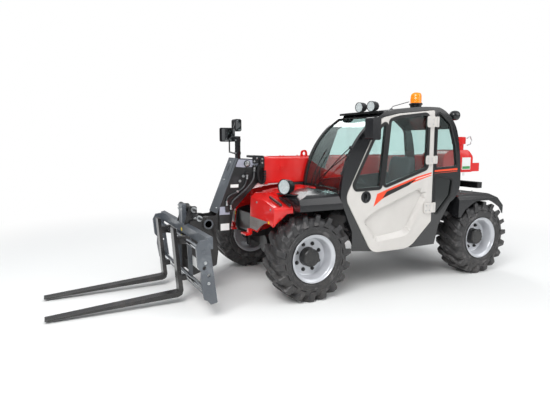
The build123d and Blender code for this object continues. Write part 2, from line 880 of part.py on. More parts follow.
# ---------------------------------------------------------------- boom
eye_x, eye_z, eye_r = -206, 1426, 20
lug_x = lift_eye[0]
with BuildPart() as boom_outer:
    with BuildSketch(Plane.YZ.offset(boom_rear)) as tube:
        with Locations((0, (boom_low + boom_high) / 2)):
            RectangleRounded(2 * boom_half, boom_high - boom_low, 18)
    extrude(tube.sketch, amount=boom_front - boom_rear)
    block(
        (boom_rear + 260, boom_front + 1),
        (-boom_half + boom_wall, boom_half - boom_wall),
        (boom_low + boom_wall, boom_high - boom_wall),
        mode=Mode.SUBTRACT,
    )
    # the rear end, rounded under the pivot
    side_plate(
        [(boom_rear - 1, 1109), (boom_rear + 130, 1109), (boom_rear - 1, 1230)],
        (-boom_half - 1, boom_half + 1),
        mode=Mode.SUBTRACT,
    )
    # the front collar and the raised duct along the top
    with BuildSketch(Plane.YZ.offset(boom_front - 45)) as collar:
        with Locations((0, (boom_low + boom_high) / 2)):
            RectangleRounded(2 * boom_half + 24, boom_high - boom_low + 24, 26)
            RectangleRounded(2 * boom_half - 2, boom_high - boom_low - 2, 10, mode=Mode.SUBTRACT)
    extrude(collar.sketch, amount=45)
    block((-1300, boom_front - 45), (-52, 52), (boom_high - 1, boom_high + 12))
    # the lifting eye
    side_plate(
        [
            (eye_x - 45, boom_high + 11),
            (eye_x + 45, boom_high + 11),
            (eye_x + 34, eye_z + 40, 32),
            (eye_x - 34, eye_z + 40, 32),
        ],
        (-8, 8),
    )
    pin(eye_x, eye_z, (-9, 9), eye_r, mode=Mode.SUBTRACT)
    # lugs for the lift cylinder's rod, with the ends of its pin
    for y_range in both_sides(45, 65):
        side_plate(
            [(lug_x - 160, 1111), (lug_x - 60, 940, 40), (lug_x + 60, 940, 40), (lug_x + 160, 1111)],
            y_range,
        )
    for y_range in both_sides(64, 78):
        boss(*lift_eye, y_range, 34)
    pin(pivot_x, pivot_z, (-120, 120), pivot_pin_r, mode=Mode.SUBTRACT)
finish(boom_outer, "boom_outer")

inner_half = boom_half - boom_wall - boom_gap
inner_low = boom_low + boom_wall + boom_gap
inner_high = boom_high - boom_wall - boom_gap
with BuildPart() as boom_inner:
    block((boom_rear + 290, 420), (-inner_half, inner_half), (inner_low, inner_high))
    block(
        (boom_rear + 280, 380),
        (-inner_half + 8, inner_half - 8),
        (inner_low + 8, inner_high - 8),
        mode=Mode.SUBTRACT,
    )
finish(boom_inner, "boom_inner")

# the cranked head: two cheeks joined by a back wall, a bent web and a box low on each cheek
cheek = [
    (421, 1372, 15),
    (656, 1385, 12),
    (899, 800, 25),
    (1040, 795, 30),
    (1075, 720, 40),
    (1030, 662, 30),
    (960, 650, 30),
    (925, 672, 8),
    (757, 575, 15),
    (713, 841, 60),
    (537, 1021, 80),
    (421, 1128, 20),
]
cheek_in = head_half - head_wall
with BuildPart() as cheek_box:
    front_plate([(119, 885), (146, 805), (146, 566), (119, 566)], (765, 880))
    side_plate(cheek, (100, 160), mode=Mode.INTERSECT)
with BuildPart() as boom_head:
    for y_range in both_sides(cheek_in, head_half):
        side_plate(cheek, y_range)
    block((421, 441), (-cheek_in - 1, cheek_in + 1), (inner_low, inner_high))
    side_plate(
        [(441, 1358), (640, 1368), (750, 1100), (769, 1108), (655, 1382), (441, 1370)],
        (-cheek_in - 1, cheek_in + 1),
    )
    # a box with a sloping top, low on the outside of each cheek
    add(cheek_box.part)
    mirror(cheek_box.part, about=Plane.XZ)
    # fittings that the hoses leave and enter
    for x, z_range in [(475, (1290, 1315)), (746, (826, 856)), (560, (1215, 1240)), (790, (830, 900))]:
        block((x - 20, x + 20), (head_half - 1, 146), z_range)
    for y_range in both_sides(cheek_in - 5, 145):
        boss(head_x, head_z, y_range, 75, 20)
    for y_range in both_sides(head_half - 1, head_half + 10):
        boss(*tilt_foot, y_range, 36)
    pin(head_x, head_z, (-150, 150), head_pin_r + 0.1, mode=Mode.SUBTRACT)
finish(boom_head, "boom_head")

# the painted strap plate down the front of the head, and the cover bolted over its upper part
with BuildPart() as head_straps:
    side_plate([(656, 1385), (665, 1389), (900, 823.5), (890.9, 819.5)], (-118, 118))
    side_plate([(664, 1388), (670, 1391), (757, 1181), (751, 1179)], (-100, 84))
finish(head_straps, "head_straps")

with BuildPart() as tilt_rocker:
    boss(head_x, head_z, (-180, 180), head_pin_r)
    for y_range in both_sides(37, 52):
        side_plate(
            [
                (951, 728, 30),
                (1011, 788, 50),
                (1071, 728, 40),
                (978, 580, 30),
                (940, 556, 30),
                (896, 580, 30),
            ],
            y_range,
        )
finish(tilt_rocker, "tilt_rocker")

coupler_side = [
    (950, 790, 30),
    (1060, 806, 40),
    (1200, 765, 20),
    (1200, 216),
    (1165, 216, 10),
    (1000, 270, 40),
    (925, 290, 25),
    (905, 440, 120),
    (935, 700, 120),
]
with BuildPart() as quick_coupler:
    for y_range in both_sides(152, 174):
        side_plate(coupler_side, y_range)
    for y_range in both_sides(173, 188):
        boss(head_x, head_z, y_range, 62, 20)
        boss(head_x, head_z, y_range, 34, 16, mode=Mode.SUBTRACT)
    block((1150, 1180), (-153, 153), (230, 330))
    rod((1140, -153, 700), (1140, 153, 700), 26, 12)
    pin(head_x, head_z, (-175, 175), head_pin_r + 0.1, mode=Mode.SUBTRACT)
finish(quick_coupler, "quick_coupler")

# ---------------------------------------------------------------- fork carriage
end_plate = [
    (1319, 713, 10),
    (1352, 650, 15),
    (1338, 477, 20),
    (1307, 437, 20),
    (1313, 353, 30),
    (1289, 187, 10),
    (1258, 173, 5),
    (1231, 136, 10),
    (1167, 145, 10),
    (1234, 722, 10),
]
inside = carriage_half - 1
with BuildPart() as fork_carriage:
    for y_range in both_sides(carriage_half - 28, carriage_half):
        side_plate(end_plate, y_range)
        for x, z, radius in ((1300, 470, 20), (1262, 400, 16)):
            boss(x - 20, z, y_range, radius, 10, mode=Mode.SUBTRACT)
    # the upper and lower beams
    side_plate([(1200, 632, 6), (1244, 640), (1250, 735), (1200, 745, 8)], (-inside, inside))
    side_plate([(1180, 150), (1224, 152), (1228, 214), (1184, 212)], (-inside, inside))
    # the two stiles and the middle post
    for y_range in both_sides(176, 200):
        side_plate([(1200, 633), (1243, 641), (1226, 213), (1188, 211)], y_range)
    front_plate([(-75, 734), (-75, 930, 12), (55, 930, 12), (55, 734)], (1202, 1246))
    # end caps that hold the shafts
    for x, z in shafts:
        pin(x, z, (-carriage_half - 1, carriage_half + 1), shaft_r + 0.1, mode=Mode.SUBTRACT)
finish(fork_carriage, "fork_carriage")

with BuildPart() as carriage_shafts:
    for x, z in shafts:
        pin(x, z, (-carriage_half, carriage_half), shaft_r)
finish(carriage_shafts, "carriage_shafts")

# each fork: a tapered tine, its heel and shank, and the tube it slides on
fork_side = [
    (1385, 745, 8),
    (1417, 750, 6),
    (1373, 120, 6),
    (tine_tip_x, 34, 4),
    (tine_tip_x, 22, 4),
    (1385, 66, 60),
    (1343, 84, 30),
    (1330, 130, 20),
]
for name, y in (("fork_left", 295), ("fork_right", -350)):
    y_range = (y - tine_width / 2, y + tine_width / 2)
    y_inner = (y_range[0] + 20, y_range[1] - 20)
    (upper_x, upper_z), (lower_x, lower_z) = shafts
    with BuildPart() as fork:
        side_plate(fork_side, y_range)
        boss(upper_x, upper_z, y_inner, 42)
        side_plate([(upper_x, 580), (1374, 580), (1378, 652), (upper_x, 652)], y_inner)
        side_plate([(lower_x + 37, 222), (1340, 222), (1342, 270), (lower_x + 37, 270)], y_inner)
        pin(upper_x, upper_z, y_range, shaft_r + 0.5, mode=Mode.SUBTRACT)
        pin(lower_x, lower_z, y_range, shaft_r + 2, mode=Mode.SUBTRACT)
    finish(fork, name)

# the pair of cylinders that shift the forks sideways, behind the upper beam
with BuildPart() as shift_cylinders:
    for x, z, y_start, y_end in ((1150, 818, -150, 330), (1150, 880, -330, 150)):
        rod((x, y_start, z), (x, y_end, z), 27, 12)
        rod((x, y_start - 60, z), (x, y_end + 60, z), 13, 8)
    for y_range in both_sides(120, 140):
        side_plate([(1205, 744), (1250, 735), (1190, 915, 20), (1115, 915, 20), (1115, 800, 20)], y_range)
finish(shift_cylinders, "shift_cylinders")

# ---------------------------------------------------------------- lift and tilt cylinders
with BuildPart() as lift_barrel:
    rod(along(lift_foot, lift_eye, 0), along(lift_foot, lift_eye, 150), 38)
    rod(along(lift_foot, lift_eye, 120), along(lift_foot, lift_eye, 1110), 55, 20)
    boss(*lift_foot, (-39, 39), 45)
    rod(along(lift_foot, lift_eye, 125), along(lift_foot, lift_eye, 1111), 37, mode=Mode.SUBTRACT)
finish(lift_barrel, "lift_barrel")

with BuildPart() as lift_rod:
    rod(along(lift_foot, lift_eye, 131), along(lift_foot, lift_eye, 1190), 30)
    boss(*lift_eye, (-35, 35), 42)
finish(lift_rod, "lift_rod")

with BuildPart() as tilt_barrel:
    rod(along(tilt_foot, tilt_eye, 20), along(tilt_foot, tilt_eye, 600), 42)
    boss(*tilt_foot, (-cheek_in + 1, cheek_in - 1), 30)
    rod(along(tilt_foot, tilt_eye, 60), along(tilt_foot, tilt_eye, 601), 28, mode=Mode.SUBTRACT)
finish(tilt_barrel, "tilt_barrel")

with BuildPart() as tilt_rod:
    rod(along(tilt_foot, tilt_eye, 240), along(tilt_foot, tilt_eye, 805), 22)
    boss(*tilt_eye, (-30, 30), 34)
finish(tilt_rod, "tilt_rod")

# ---------------------------------------------------------------- hoses on the head
# from the boom's front end down the left cheek to the carriage's valve: points of each run
head_hose_points = [
    [
        (475, 133, 1290),
        (475, 133, 1225),
        (505, 172, 1150),
        (585, 172, 1065),
        (670, 133, 985),
        (746, 133, 925),
        (746, 133, 856),
    ],
    [
        (560, 133, 1215),
        (560, 133, 1120),
        (650, 133, 1040),
        (770, 133, 1000),
        (790, 133, 950),
        (790, 133, 900),
    ],
]
with BuildPart() as head_hoses:
    for points in head_hose_points:
        hose(points, 11)
finish(head_hoses, "head_hoses")
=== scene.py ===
import json
import math
from functools import partial

import bmesh
import bpy
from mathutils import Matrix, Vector


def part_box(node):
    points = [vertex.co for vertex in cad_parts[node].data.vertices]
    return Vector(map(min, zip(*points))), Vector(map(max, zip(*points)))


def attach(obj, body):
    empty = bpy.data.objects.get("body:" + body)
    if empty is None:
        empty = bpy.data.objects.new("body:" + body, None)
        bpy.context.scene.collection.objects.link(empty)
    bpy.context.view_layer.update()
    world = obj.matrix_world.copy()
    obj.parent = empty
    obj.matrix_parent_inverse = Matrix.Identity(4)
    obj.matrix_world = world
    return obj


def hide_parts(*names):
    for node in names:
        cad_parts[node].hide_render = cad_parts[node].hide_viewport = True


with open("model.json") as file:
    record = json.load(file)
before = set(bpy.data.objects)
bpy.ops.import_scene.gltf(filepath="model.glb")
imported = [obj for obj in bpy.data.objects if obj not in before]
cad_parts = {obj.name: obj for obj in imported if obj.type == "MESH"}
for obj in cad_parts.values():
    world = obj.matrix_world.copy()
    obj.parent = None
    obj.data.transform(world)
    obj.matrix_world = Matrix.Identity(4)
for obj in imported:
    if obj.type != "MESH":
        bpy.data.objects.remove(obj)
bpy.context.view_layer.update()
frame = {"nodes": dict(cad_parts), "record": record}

nodes = frame["nodes"]
bodyOf = {node: body for body, members in frame["record"]["behaviour"]["bodies"].items() for node in members}
mm = 0.001
print("frame loaded:", len(nodes), "nodes")


# camera, floor and light
view = {
    "place": (2.489, 4.650, 1.558),
    "yaw": 63.43,  # degrees from -X towards -Y
    "pitch": 7.86,  # degrees down
    "lens": 30.45,
}
studio = {
    "floorColour": "#F4F4F2",
    "floorReach": 60,
    "whiteFrom": 3.2,  # the floor turns to white paper between these distances in metres
    "whiteTo": 6.5,
    "skyLevel": 0.62,
    "mirrorLow": 0.12,  # what reflections see at eye level
    "mirrorHigh": 0.75,  # and overhead
    "keyPower": 520,
    "fillPower": 160,
}


def toLinear(hexColour):
    # an sRGB hex colour, such as #C8201B, as linear red, green, blue and alpha
    channels = [int(hexColour[i:i + 2], 16) / 255 for i in (1, 3, 5)]
    return [c / 12.92 if c <= 0.04045 else ((c + 0.055) / 1.055) ** 2.4 for c in channels] + [1]


def addNode(tree, kind, settings=None, links=None):
    # one node, with its settings (inputs by name or number, otherwise its own options) and its incoming
    # links, which start at a socket or, given a node, at its first output
    node = tree.nodes.new("ShaderNode" + kind)
    for key, value in (settings or {}).items():
        if isinstance(key, int) or key in node.inputs:
            node.inputs[key].default_value = value
        else:
            setattr(node, key, value)
    for key, source in (links or {}).items():
        socket = source.outputs[0] if isinstance(source, bpy.types.Node) else source
        tree.links.new(socket, node.inputs[key])
    return node


def linked(name, data):
    # a new object in the scene's collection
    item = bpy.data.objects.new(name, data)
    bpy.context.collection.objects.link(item)
    return item


def setCamera():
    camera = linked("camera", bpy.data.cameras.new("camera"))
    yaw, pitch = math.radians(view["yaw"]), math.radians(view["pitch"])
    sight = Vector((-math.cos(yaw) * math.cos(pitch), -math.sin(yaw) * math.cos(pitch), -math.sin(pitch)))
    camera.location = view["place"]
    camera.rotation_euler = sight.to_track_quat("-Z", "Y").to_euler()
    camera.data.lens = view["lens"]
    camera.data.sensor_width = 36
    camera.data.clip_end = 200
    bpy.context.scene.camera = camera
    bpy.context.scene.view_settings.view_transform = "Standard"


def setFloor():
    reach = studio["floorReach"]
    floorMesh = bpy.data.meshes.new("studioFloor")
    floorMesh.from_pydata([(-reach, -reach, 0), (reach, -reach, 0), (reach, reach, 0), (-reach, reach, 0)],
                          [], [(0, 1, 2, 3)])
    floor = linked("studioFloor", floorMesh)
    paper = bpy.data.materials.new("paleFloorPaint")
    paper.use_nodes = True
    shader = paper.node_tree.nodes["Principled BSDF"]
    shader.inputs["Base Color"].default_value = toLinear(studio["floorColour"])
    shader.inputs["Roughness"].default_value = 0.85
    shader.inputs["Specular IOR Level"].default_value = 0.1
    # far from the machine the floor shows as white paper, and near it it keeps the shadow
    tree = paper.node_tree
    add = partial(addNode, tree)
    spot = add("NewGeometry").outputs["Position"]
    reachOut = add("VectorMath", {"operation": "LENGTH"}, {0: spot})
    far = add("MapRange", {"interpolation_type": "SMOOTHSTEP", "From Min": studio["whiteFrom"],
                           "From Max": studio["whiteTo"]}, {"Value": reachOut.outputs["Value"]})
    seenBy = add("LightPath").outputs
    rays = {0: seenBy["Is Camera Ray"], 1: seenBy["Is Transmission Ray"]}
    direct = add("Math", {"operation": "MAXIMUM"}, rays)
    share = add("Math", {"operation": "MULTIPLY"}, {0: far, 1: direct})
    whitePaper = add("Emission", {"Color": (1, 1, 1, 1), "Strength": 1})
    blend = add("MixShader", links={0: share, 1: shader, 2: whitePaper})
    tree.links.new(blend.outputs[0], tree.nodes["Material Output"].inputs["Surface"])
    floorMesh.materials.append(paper)


def setRoom():
    world = bpy.data.worlds.new("softRoom")
    bpy.context.scene.world = world
    world.use_nodes = True
    world.node_tree.nodes.clear()
    add = partial(addNode, world.node_tree)
    ray = add("LightPath").outputs
    seen = add("Math", {"operation": "MAXIMUM"}, {0: ray["Is Camera Ray"], 1: ray["Is Transmission Ray"]})
    lit = add("Background", {"Color": (0.93, 0.96, 1, 1), "Strength": studio["skyLevel"]})
    # reflections see a room that is dim at eye level and bright overhead, so that black paint stays black
    way = add("TexCoord").outputs["Generated"]
    high = add("SeparateXYZ", links={0: way}).outputs["Z"]
    level = add("MapRange", {"From Min": 0.0, "From Max": 0.8, "To Min": studio["mirrorLow"],
                             "To Max": studio["mirrorHigh"]}, {"Value": high})
    room = add("Background", {"Color": (0.97, 0.98, 1, 1)}, {"Strength": level})
    either = add("MixShader", links={0: ray["Is Glossy Ray"], 1: lit, 2: room})
    white = add("Background", {"Color": (1, 1, 1, 1), "Strength": 1})
    mix = add("MixShader", links={0: seen, 1: either, 2: white})
    add("OutputWorld", links={"Surface": mix})


def setLamps():
    for name, place, aim, size, power in (
        ("keyLamp", (4.5, 4.5, 6.5), (-0.4, 0, 0.8), 4.5, studio["keyPower"]),
        ("fillLamp", (-5.5, 5.5, 4.5), (-0.8, 0, 0.8), 5, studio["fillPower"]),
        ("rearLamp", (-3.5, -6, 5), (-0.4, 0, 0.8), 4, studio["fillPower"]),
    ):
        lamp = bpy.data.lights.new(name, "AREA")
        lamp.energy = power
        lamp.size = size
        holder = linked(name, lamp)
        holder.location = place
        holder.rotation_euler = (Vector(aim) - Vector(place)).to_track_quat("-Z", "Y").to_euler()


setCamera()
setFloor()
setRoom()
setLamps()
print("camera, floor and lamps set")


# finishes
finishLook = {
    "dustColour": "#8C8276",
    "edgeWearAndHighlightRadius": 4,  # mm round an edge where paint is rubbed, and on the tyre where dust and a painted highlight lie along the lug edges
    "bumpStrength": 0.6,
    "glowStrength": 0.35,
}


def makeFinish(name, colour, shade, metallic=0.0, rough=(0.4, 0.5), patch=250, grain=2.0, grainDepth=0.02,
               edgeWearAndHighlight=None, dust=0.0, dustTop=900, edge=1.5, coat=0.0, seeThrough=0.0, ior=None, glow=None):
    # colour and shade drift into each other in patches of `patch` mm, `grain` is the texture's size in mm and
    # grainDepth its depth in mm, edgeWearAndHighlight is the colour the edges turn to (bared paint on painted
    # finishes, and on the tyre partly dust and partly a painted highlight), dust is how much dust lies low
    # down
    finish = bpy.data.materials.new(name)
    finish.use_nodes = True
    tree = finish.node_tree
    add = partial(addNode, tree)
    shader = tree.nodes["Principled BSDF"]
    place = add("TexCoord").outputs["Object"]
    drift = add("TexNoise", {"Scale": 1000 / patch, "Detail": 4.0, "Roughness": 0.6}, {"Vector": place})
    amount = add("MapRange", {"From Min": 0.35, "From Max": 0.7}, {"Value": drift.outputs["Fac"]})
    tint = add("Mix", {"data_type": "RGBA", 6: toLinear(colour), 7: toLinear(shade)},
               {0: amount}).outputs[2]
    fine = add("TexNoise", {"Scale": 1000 / grain, "Detail": 3.0, "Roughness": 0.55}, {"Vector": place})
    bent = add("Bevel", {"samples": 4, "Radius": edge * mm}) if edge else None
    if dust:
        height = add("SeparateXYZ", links={0: place}).outputs["Z"]
        low = add("MapRange", {"From Min": 0.0, "From Max": dustTop * mm, "To Min": dust,
                               "To Max": dust * 0.12}, {"Value": height})
        spots = add("TexNoise", {"Scale": 1000 / 60, "Detail": 6.0, "Roughness": 0.7}, {"Vector": place})
        ragged = add("MapRange", {"From Min": 0.38, "From Max": 0.62}, {"Value": spots.outputs["Fac"]})
        cover = add("Math", {"operation": "MULTIPLY"}, {0: low, 1: ragged})
        tint = add("Mix", {"data_type": "RGBA", 7: toLinear(finishLook["dustColour"])},
                   {0: cover, 6: tint}).outputs[2]
    # edges turn to the edgeWearAndHighlight colour: bared paint on painted finishes, and on the tyre partly
    # dust and partly a painted highlight
    if edgeWearAndHighlight:
        flat = add("NewGeometry").outputs["Normal"]
        soft = add("Bevel", {"samples": 4, "Radius": finishLook["edgeWearAndHighlightRadius"] * mm})
        turn = add("VectorMath", {"operation": "DOT_PRODUCT"}, {0: flat, 1: soft}).outputs["Value"]
        edgeWearAndHighlightSum = add("Math", {"operation": "ADD"}, {0: turn, 1: amount})
        edgeWearAndHighlightShare = add("MapRange", {"From Min": 1.25, "From Max": 0.95, "To Max": 0.75}, {"Value": edgeWearAndHighlightSum})
        tint = add("Mix", {"data_type": "RGBA", 7: toLinear(edgeWearAndHighlight)}, {0: edgeWearAndHighlightShare, 6: tint}).outputs[2]
    tree.links.new(tint, shader.inputs["Base Color"])
    gloss = add("MapRange", {"To Min": rough[0], "To Max": rough[1]}, {"Value": fine.outputs["Fac"]})
    tree.links.new(gloss.outputs[0], shader.inputs["Roughness"])
    bump = add("Bump", {"Strength": finishLook["bumpStrength"], "Distance": grainDepth * mm},
               {"Height": fine.outputs["Fac"]})
    if bent:
        tree.links.new(bent.outputs[0], bump.inputs["Normal"])
    tree.links.new(bump.outputs[0], shader.inputs["Normal"])
    settings = {"Metallic": metallic}
    if coat:
        settings |= {"Coat Weight": coat, "Coat Roughness": 0.06}
    if seeThrough:
        settings["Transmission Weight"] = seeThrough
    if ior:
        settings["IOR"] = ior
    if glow:
        settings |= {"Emission Color": toLinear(glow), "Emission Strength": finishLook["glowStrength"]}
    for socket, value in settings.items():
        shader.inputs[socket].default_value = value
    return finish


# polyester powder paint, sprayed and baked: an even red with a faint orange peel under a clear gloss
redPaint = makeFinish("redPowderPaint", "#E0211F", "#D91E1C", rough=(0.2, 0.28), grain=3, dust=0.03,
                      coat=0.5)
# two-pack enamel, sprayed: warm light grey, smooth and softly glossy
doorPaint = makeFinish("paleEnamel", "#CFCBC6", "#C9C5C0", rough=(0.22, 0.3), grain=3, dust=0.03, coat=0.5)
# two-pack enamel, sprayed: deep black with a clear reflection, on the cab's pressed frame
cabPaint = makeFinish("blackEnamel", "#131416", "#17181B", rough=(0.14, 0.22), grain=3, dust=0.04, coat=0.6)
# chassis enamel, brushed and sprayed: duller black that holds dust
chassisPaint = makeFinish("chassisEnamel", "#1A1B1D", "#202122", rough=(0.3, 0.42), grain=4, grainDepth=0.04,
                          edgeWearAndHighlight="#38373A", dust=0.12, dustTop=1000, coat=0.2)
# alkyd enamel, sprayed: blue-grey slate over welded plate
slatePaint = makeFinish("slateEnamel", "#565B61", "#50555B", rough=(0.26, 0.36), grain=4, grainDepth=0.04,
                        edgeWearAndHighlight="#6E7378", dust=0.05, coat=0.2)
# alkyd enamel, sprayed darker: the coupler's plates, a brown-black over steel
couplerPaint = makeFinish("darkSlateEnamel", "#2B2A2A", "#262525", rough=(0.28, 0.4), grain=4,
                          grainDepth=0.04, edgeWearAndHighlight="#484542", dust=0.06)
# painted sky reflection: a glossy grey-lavender laid as thin sheets on the black head where its faces tilt up
# towards the sky
skyReflectionPaint = makeFinish("paintedSkyReflection", "#A3A5B2", "#9A9CAA", rough=(0.2, 0.3), grain=4,
                         grainDepth=0.03, dust=0.04, coat=0.4)
# forged steel, painted black: scuffed to a brown-grey sheen where loads rub
forkPaint = makeFinish("forgedBlackPaint", "#1A1A1B", "#232120", rough=(0.22, 0.36), grain=6,
                       grainDepth=0.06, edgeWearAndHighlight="#3E3A38", dust=0.03, dustTop=500, coat=0.35)
# aluminium lacquer on pressed steel: fine sparkle, satin
rimPaint = makeFinish("silverLacquer", "#CDCFD3", "#C5C7CC", metallic=0.3, rough=(0.25, 0.35), grain=1.5,
                      dust=0.05)
# hard chrome, ground and plated: mirror-like with a faint grind
chrome = makeFinish("hardChrome", "#D9DCDF", "#CED2D6", metallic=1.0, rough=(0.08, 0.16), grainDepth=0.005)
# zinc-plated steel, dipped: pale dull silver with a spangle of about 6 mm
zinc = makeFinish("zincPlate", "#C4C7C8", "#A9ADAF", metallic=0.9, rough=(0.25, 0.4), patch=12, grain=6)
# polypropylene, injection moulded: charcoal with a fine leather grain of about 1.5 mm
mouldedPlastic = makeFinish("mouldedPolypropylene", "#17181B", "#1B1C1F", rough=(0.2, 0.3), grain=1.5,
                            grainDepth=0.04, dust=0.04, dustTop=1500, coat=0.15)
# EPDM rubber, extruded: soft matt black
sealRubber = makeFinish("extrudedRubber", "#101112", "#161718", rough=(0.4, 0.55), grain=1.2,
                        grainDepth=0.05, edge=1)
# hydraulic hose rubber, extruded over braid: dark grey with a faint cloth mark
hoseRubber = makeFinish("braidedHoseRubber", "#2E2F31", "#3A3B3E", rough=(0.35, 0.5), patch=30, grain=2.5,
                        grainDepth=0.1, edge=0)
# tyre rubber, vulcanised in a mould: grey-black, a trace of brown dust in the low places, and lug edges
# turned lighter grey, partly dust and partly a painted highlight
tyreRubber = makeFinish("vulcanisedRubber", "#2A2A2C", "#333334", rough=(0.36, 0.52), patch=90, grain=4,
                        grainDepth=0.12, edgeWearAndHighlight="#6B6868", dust=0.12, edge=3)
# toughened glass, tinted in the melt: clear with a teal cast that shows most along its edges
tintedGlass = makeFinish("tintedGlass", "#DDF0EE", "#D9EDEA", rough=(0.0, 0.01), grain=400,
                         grainDepth=0.001, seeThrough=1.0, ior=1.52, edge=0)
# toughened glass with a black ceramic back: a near-black mirror
darkGlass = makeFinish("blackBackedGlass", "#0B1110", "#0D1413", rough=(0.02, 0.05), grain=400,
                       grainDepth=0.001, ior=1.52, edge=0, coat=0.6)
# clear polycarbonate, moulded: the lamps' lenses
lensPlastic = makeFinish("clearPolycarbonate", "#F4F7F7", "#EEF2F2", rough=(0.02, 0.06), grain=40,
                         grainDepth=0.002, seeThrough=1.0, ior=1.3, edge=0)
# vacuum-plated plastic: the bright bowl behind each lamp's lens
reflector = makeFinish("vacuumPlatedBowl", "#E8EAEB", "#DDE0E2", metallic=1.0, rough=(0.12, 0.22), patch=20,
                       grain=8, grainDepth=0.2, edge=0)
# amber polycarbonate, moulded: glows where light passes
amberPlastic = makeFinish("amberPolycarbonate", "#F59A1E", "#F08C10", rough=(0.12, 0.2), patch=40, grain=12,
                          grainDepth=0.1, seeThrough=0.25, ior=1.58, glow="#F58A08")
# red polycarbonate, moulded: deep red with a glassy shine
redLens = makeFinish("redPolycarbonate", "#B3181A", "#9C1214", rough=(0.1, 0.18), grain=6, grainDepth=0.1,
                     ior=1.58)
# PVC-coated cloth, calendered: charcoal seat cover with a 3 mm grain
seatVinyl = makeFinish("calenderedVinyl", "#2B2D31", "#34363A", rough=(0.4, 0.55), grain=3, grainDepth=0.12)
# grey cast iron and pressed tin, painted: the engine as one block
enginePaint = makeFinish("castIronPaint", "#3A3C3D", "#2D2F30", rough=(0.5, 0.65), grain=5, grainDepth=0.3,
                         dust=0.3)
# steel grille, galvanised: mid grey
gridSteel = makeFinish("perforatedSteel", "#8D8C89", "#7C7B78", metallic=0.3, rough=(0.35, 0.5), grain=4,
                       grainDepth=0.1, dust=0.05)
# silvered glass: a mirror
mirrorGlass = makeFinish("silveredGlass", "#E6E9EA", "#E1E5E6", metallic=1.0, rough=(0.02, 0.04), grain=200,
                         grainDepth=0.001, edge=0)
# cast vinyl film, printed and cut: thin coloured stripes and blank plates, smooth with a low gloss
stripeOrange, stripeBlack, stripeWhite, stripeYellow, stripeGreen = (
    makeFinish(f"{hue}VinylFilm", colour, shade, rough=(0.25, 0.35), patch=400, grain=60, grainDepth=0.002,
               edge=0)
    for hue, colour, shade in (("orange", "#F0522C", "#EB4A26"), ("black", "#1B1B1D", "#202022"),
                               ("white", "#F0F0EE", "#EAEAE8"), ("yellow", "#F2D21A", "#EBCB14"),
                               ("green", "#3F9A55", "#3A9150"))
)
print("finishes ready")


# forms
def newForm():
    return bmesh.new()


def keepPiece(name, form, finishes, body, sharp=32, replaced=()):
    # turns a form into a named piece that rides on a body; edges that turn by more than `sharp` degrees
    # stay crisp
    mesh = bpy.data.meshes.new(name)
    form.to_mesh(mesh)
    form.free()
    for finish in finishes:
        mesh.materials.append(finish)
    mesh.shade_smooth()
    mesh.set_sharp_from_angle(angle=math.radians(sharp))
    piece = linked(name, mesh)
    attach(piece, body)
    if replaced:
        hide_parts(*replaced)
    return piece


def softenEdges(piece, width):
    # a real small radius, in mm, along every edge that turns by more than 30 degrees
    bevel = piece.modifiers.new("edgeRadius", "BEVEL")
    bevel.width = width * mm
    bevel.segments = 2
    bevel.limit_method = "ANGLE"
    bevel.angle_limit = math.radians(30)
    bevel.use_clamp_overlap = True
    bevel.harden_normals = True


def turned(form, profile, centre, axis, steps=64, material=0, closed=False):
    # revolves (distance along the axis, radius) pairs, all in mm, about an axis through centre
    along = Vector(axis).normalized()
    across = along.orthogonal().normalized()
    third = along.cross(across)
    angles = [2 * math.pi * step / steps for step in range(steps)]
    spokes = [across * math.cos(a) + third * math.sin(a) for a in angles]
    rings = [[form.verts.new((Vector(centre) + along * distance + spoke * radius) * mm) for spoke in spokes]
             for distance, radius in profile]
    joinRings(form, rings + rings[:1] if closed else rings, material)
    if not closed:
        for ring in (rings[0], rings[-1]):
            form.faces.new(ring).material_index = material


def joinRings(form, rings, material=0):
    # a band of faces between each ring of points and the next
    for first, second in zip(rings, rings[1:]):
        for k in range(len(first)):
            after = (k + 1) % len(first)
            form.faces.new((first[k], first[after], second[after], second[k])).material_index = material


def blockOf(form, x, y, z, material=0):
    # a box between its lowest and highest X, Y and Z in mm
    verts = [form.verts.new(Vector((a, b, c)) * mm) for a in x for b in y for c in z]
    for corners in ((0, 1, 3, 2), (4, 6, 7, 5), (0, 4, 5, 1), (2, 3, 7, 6), (0, 2, 6, 4), (1, 5, 7, 3)):
        form.faces.new([verts[i] for i in corners]).material_index = material


def slabOf(form, near, far, material=0):
    # a solid between two outlines with like points in mm
    low, high = ([form.verts.new(Vector(point) * mm) for point in line] for line in (near, far))
    form.faces.new(low).material_index = material
    form.faces.new(list(reversed(high))).material_index = material
    for i in range(len(low)):
        after = (i + 1) % len(low)
        form.faces.new((low[i], high[i], high[after], low[after])).material_index = material


def plateOf(form, corners, depth, place, material=0):
    # a flat outline run between two depths; place(across, up, depth) gives a point in mm
    slabOf(form, *([place(a, u, d) for a, u in corners] for d in depth), material)


def sidePlace(across, up, depth):
    return (across, depth, up)


def frontPlace(across, up, depth):
    return (depth, across, up)


def topPlace(across, up, depth):
    return (across, up, depth)


def span(side, near, far):
    # lowest and highest Y between two distances from the middle, on the left (1) or the right (-1)
    return sorted((side * near, side * far))


def tubeOf(form, points, radius, sides=12, material=0):
    # a tube through points in mm, with a ring at each point
    line = [Vector(point) for point in points]
    rings = []
    side = None
    for i, point in enumerate(line):
        run = (line[min(i + 1, len(line) - 1)] - line[max(i - 1, 0)]).normalized()
        side = run.orthogonal().normalized() if side is None else (side - run * side.dot(run)).normalized()
        third = run.cross(side)
        rings.append([
            form.verts.new((point + (side * math.cos(turn) + third * math.sin(turn)) * radius) * mm)
            for turn in (2 * math.pi * k / sides for k in range(sides))
        ])
    joinRings(form, rings, material)
    form.faces.new(rings[0]).material_index = material
    form.faces.new(rings[-1]).material_index = material


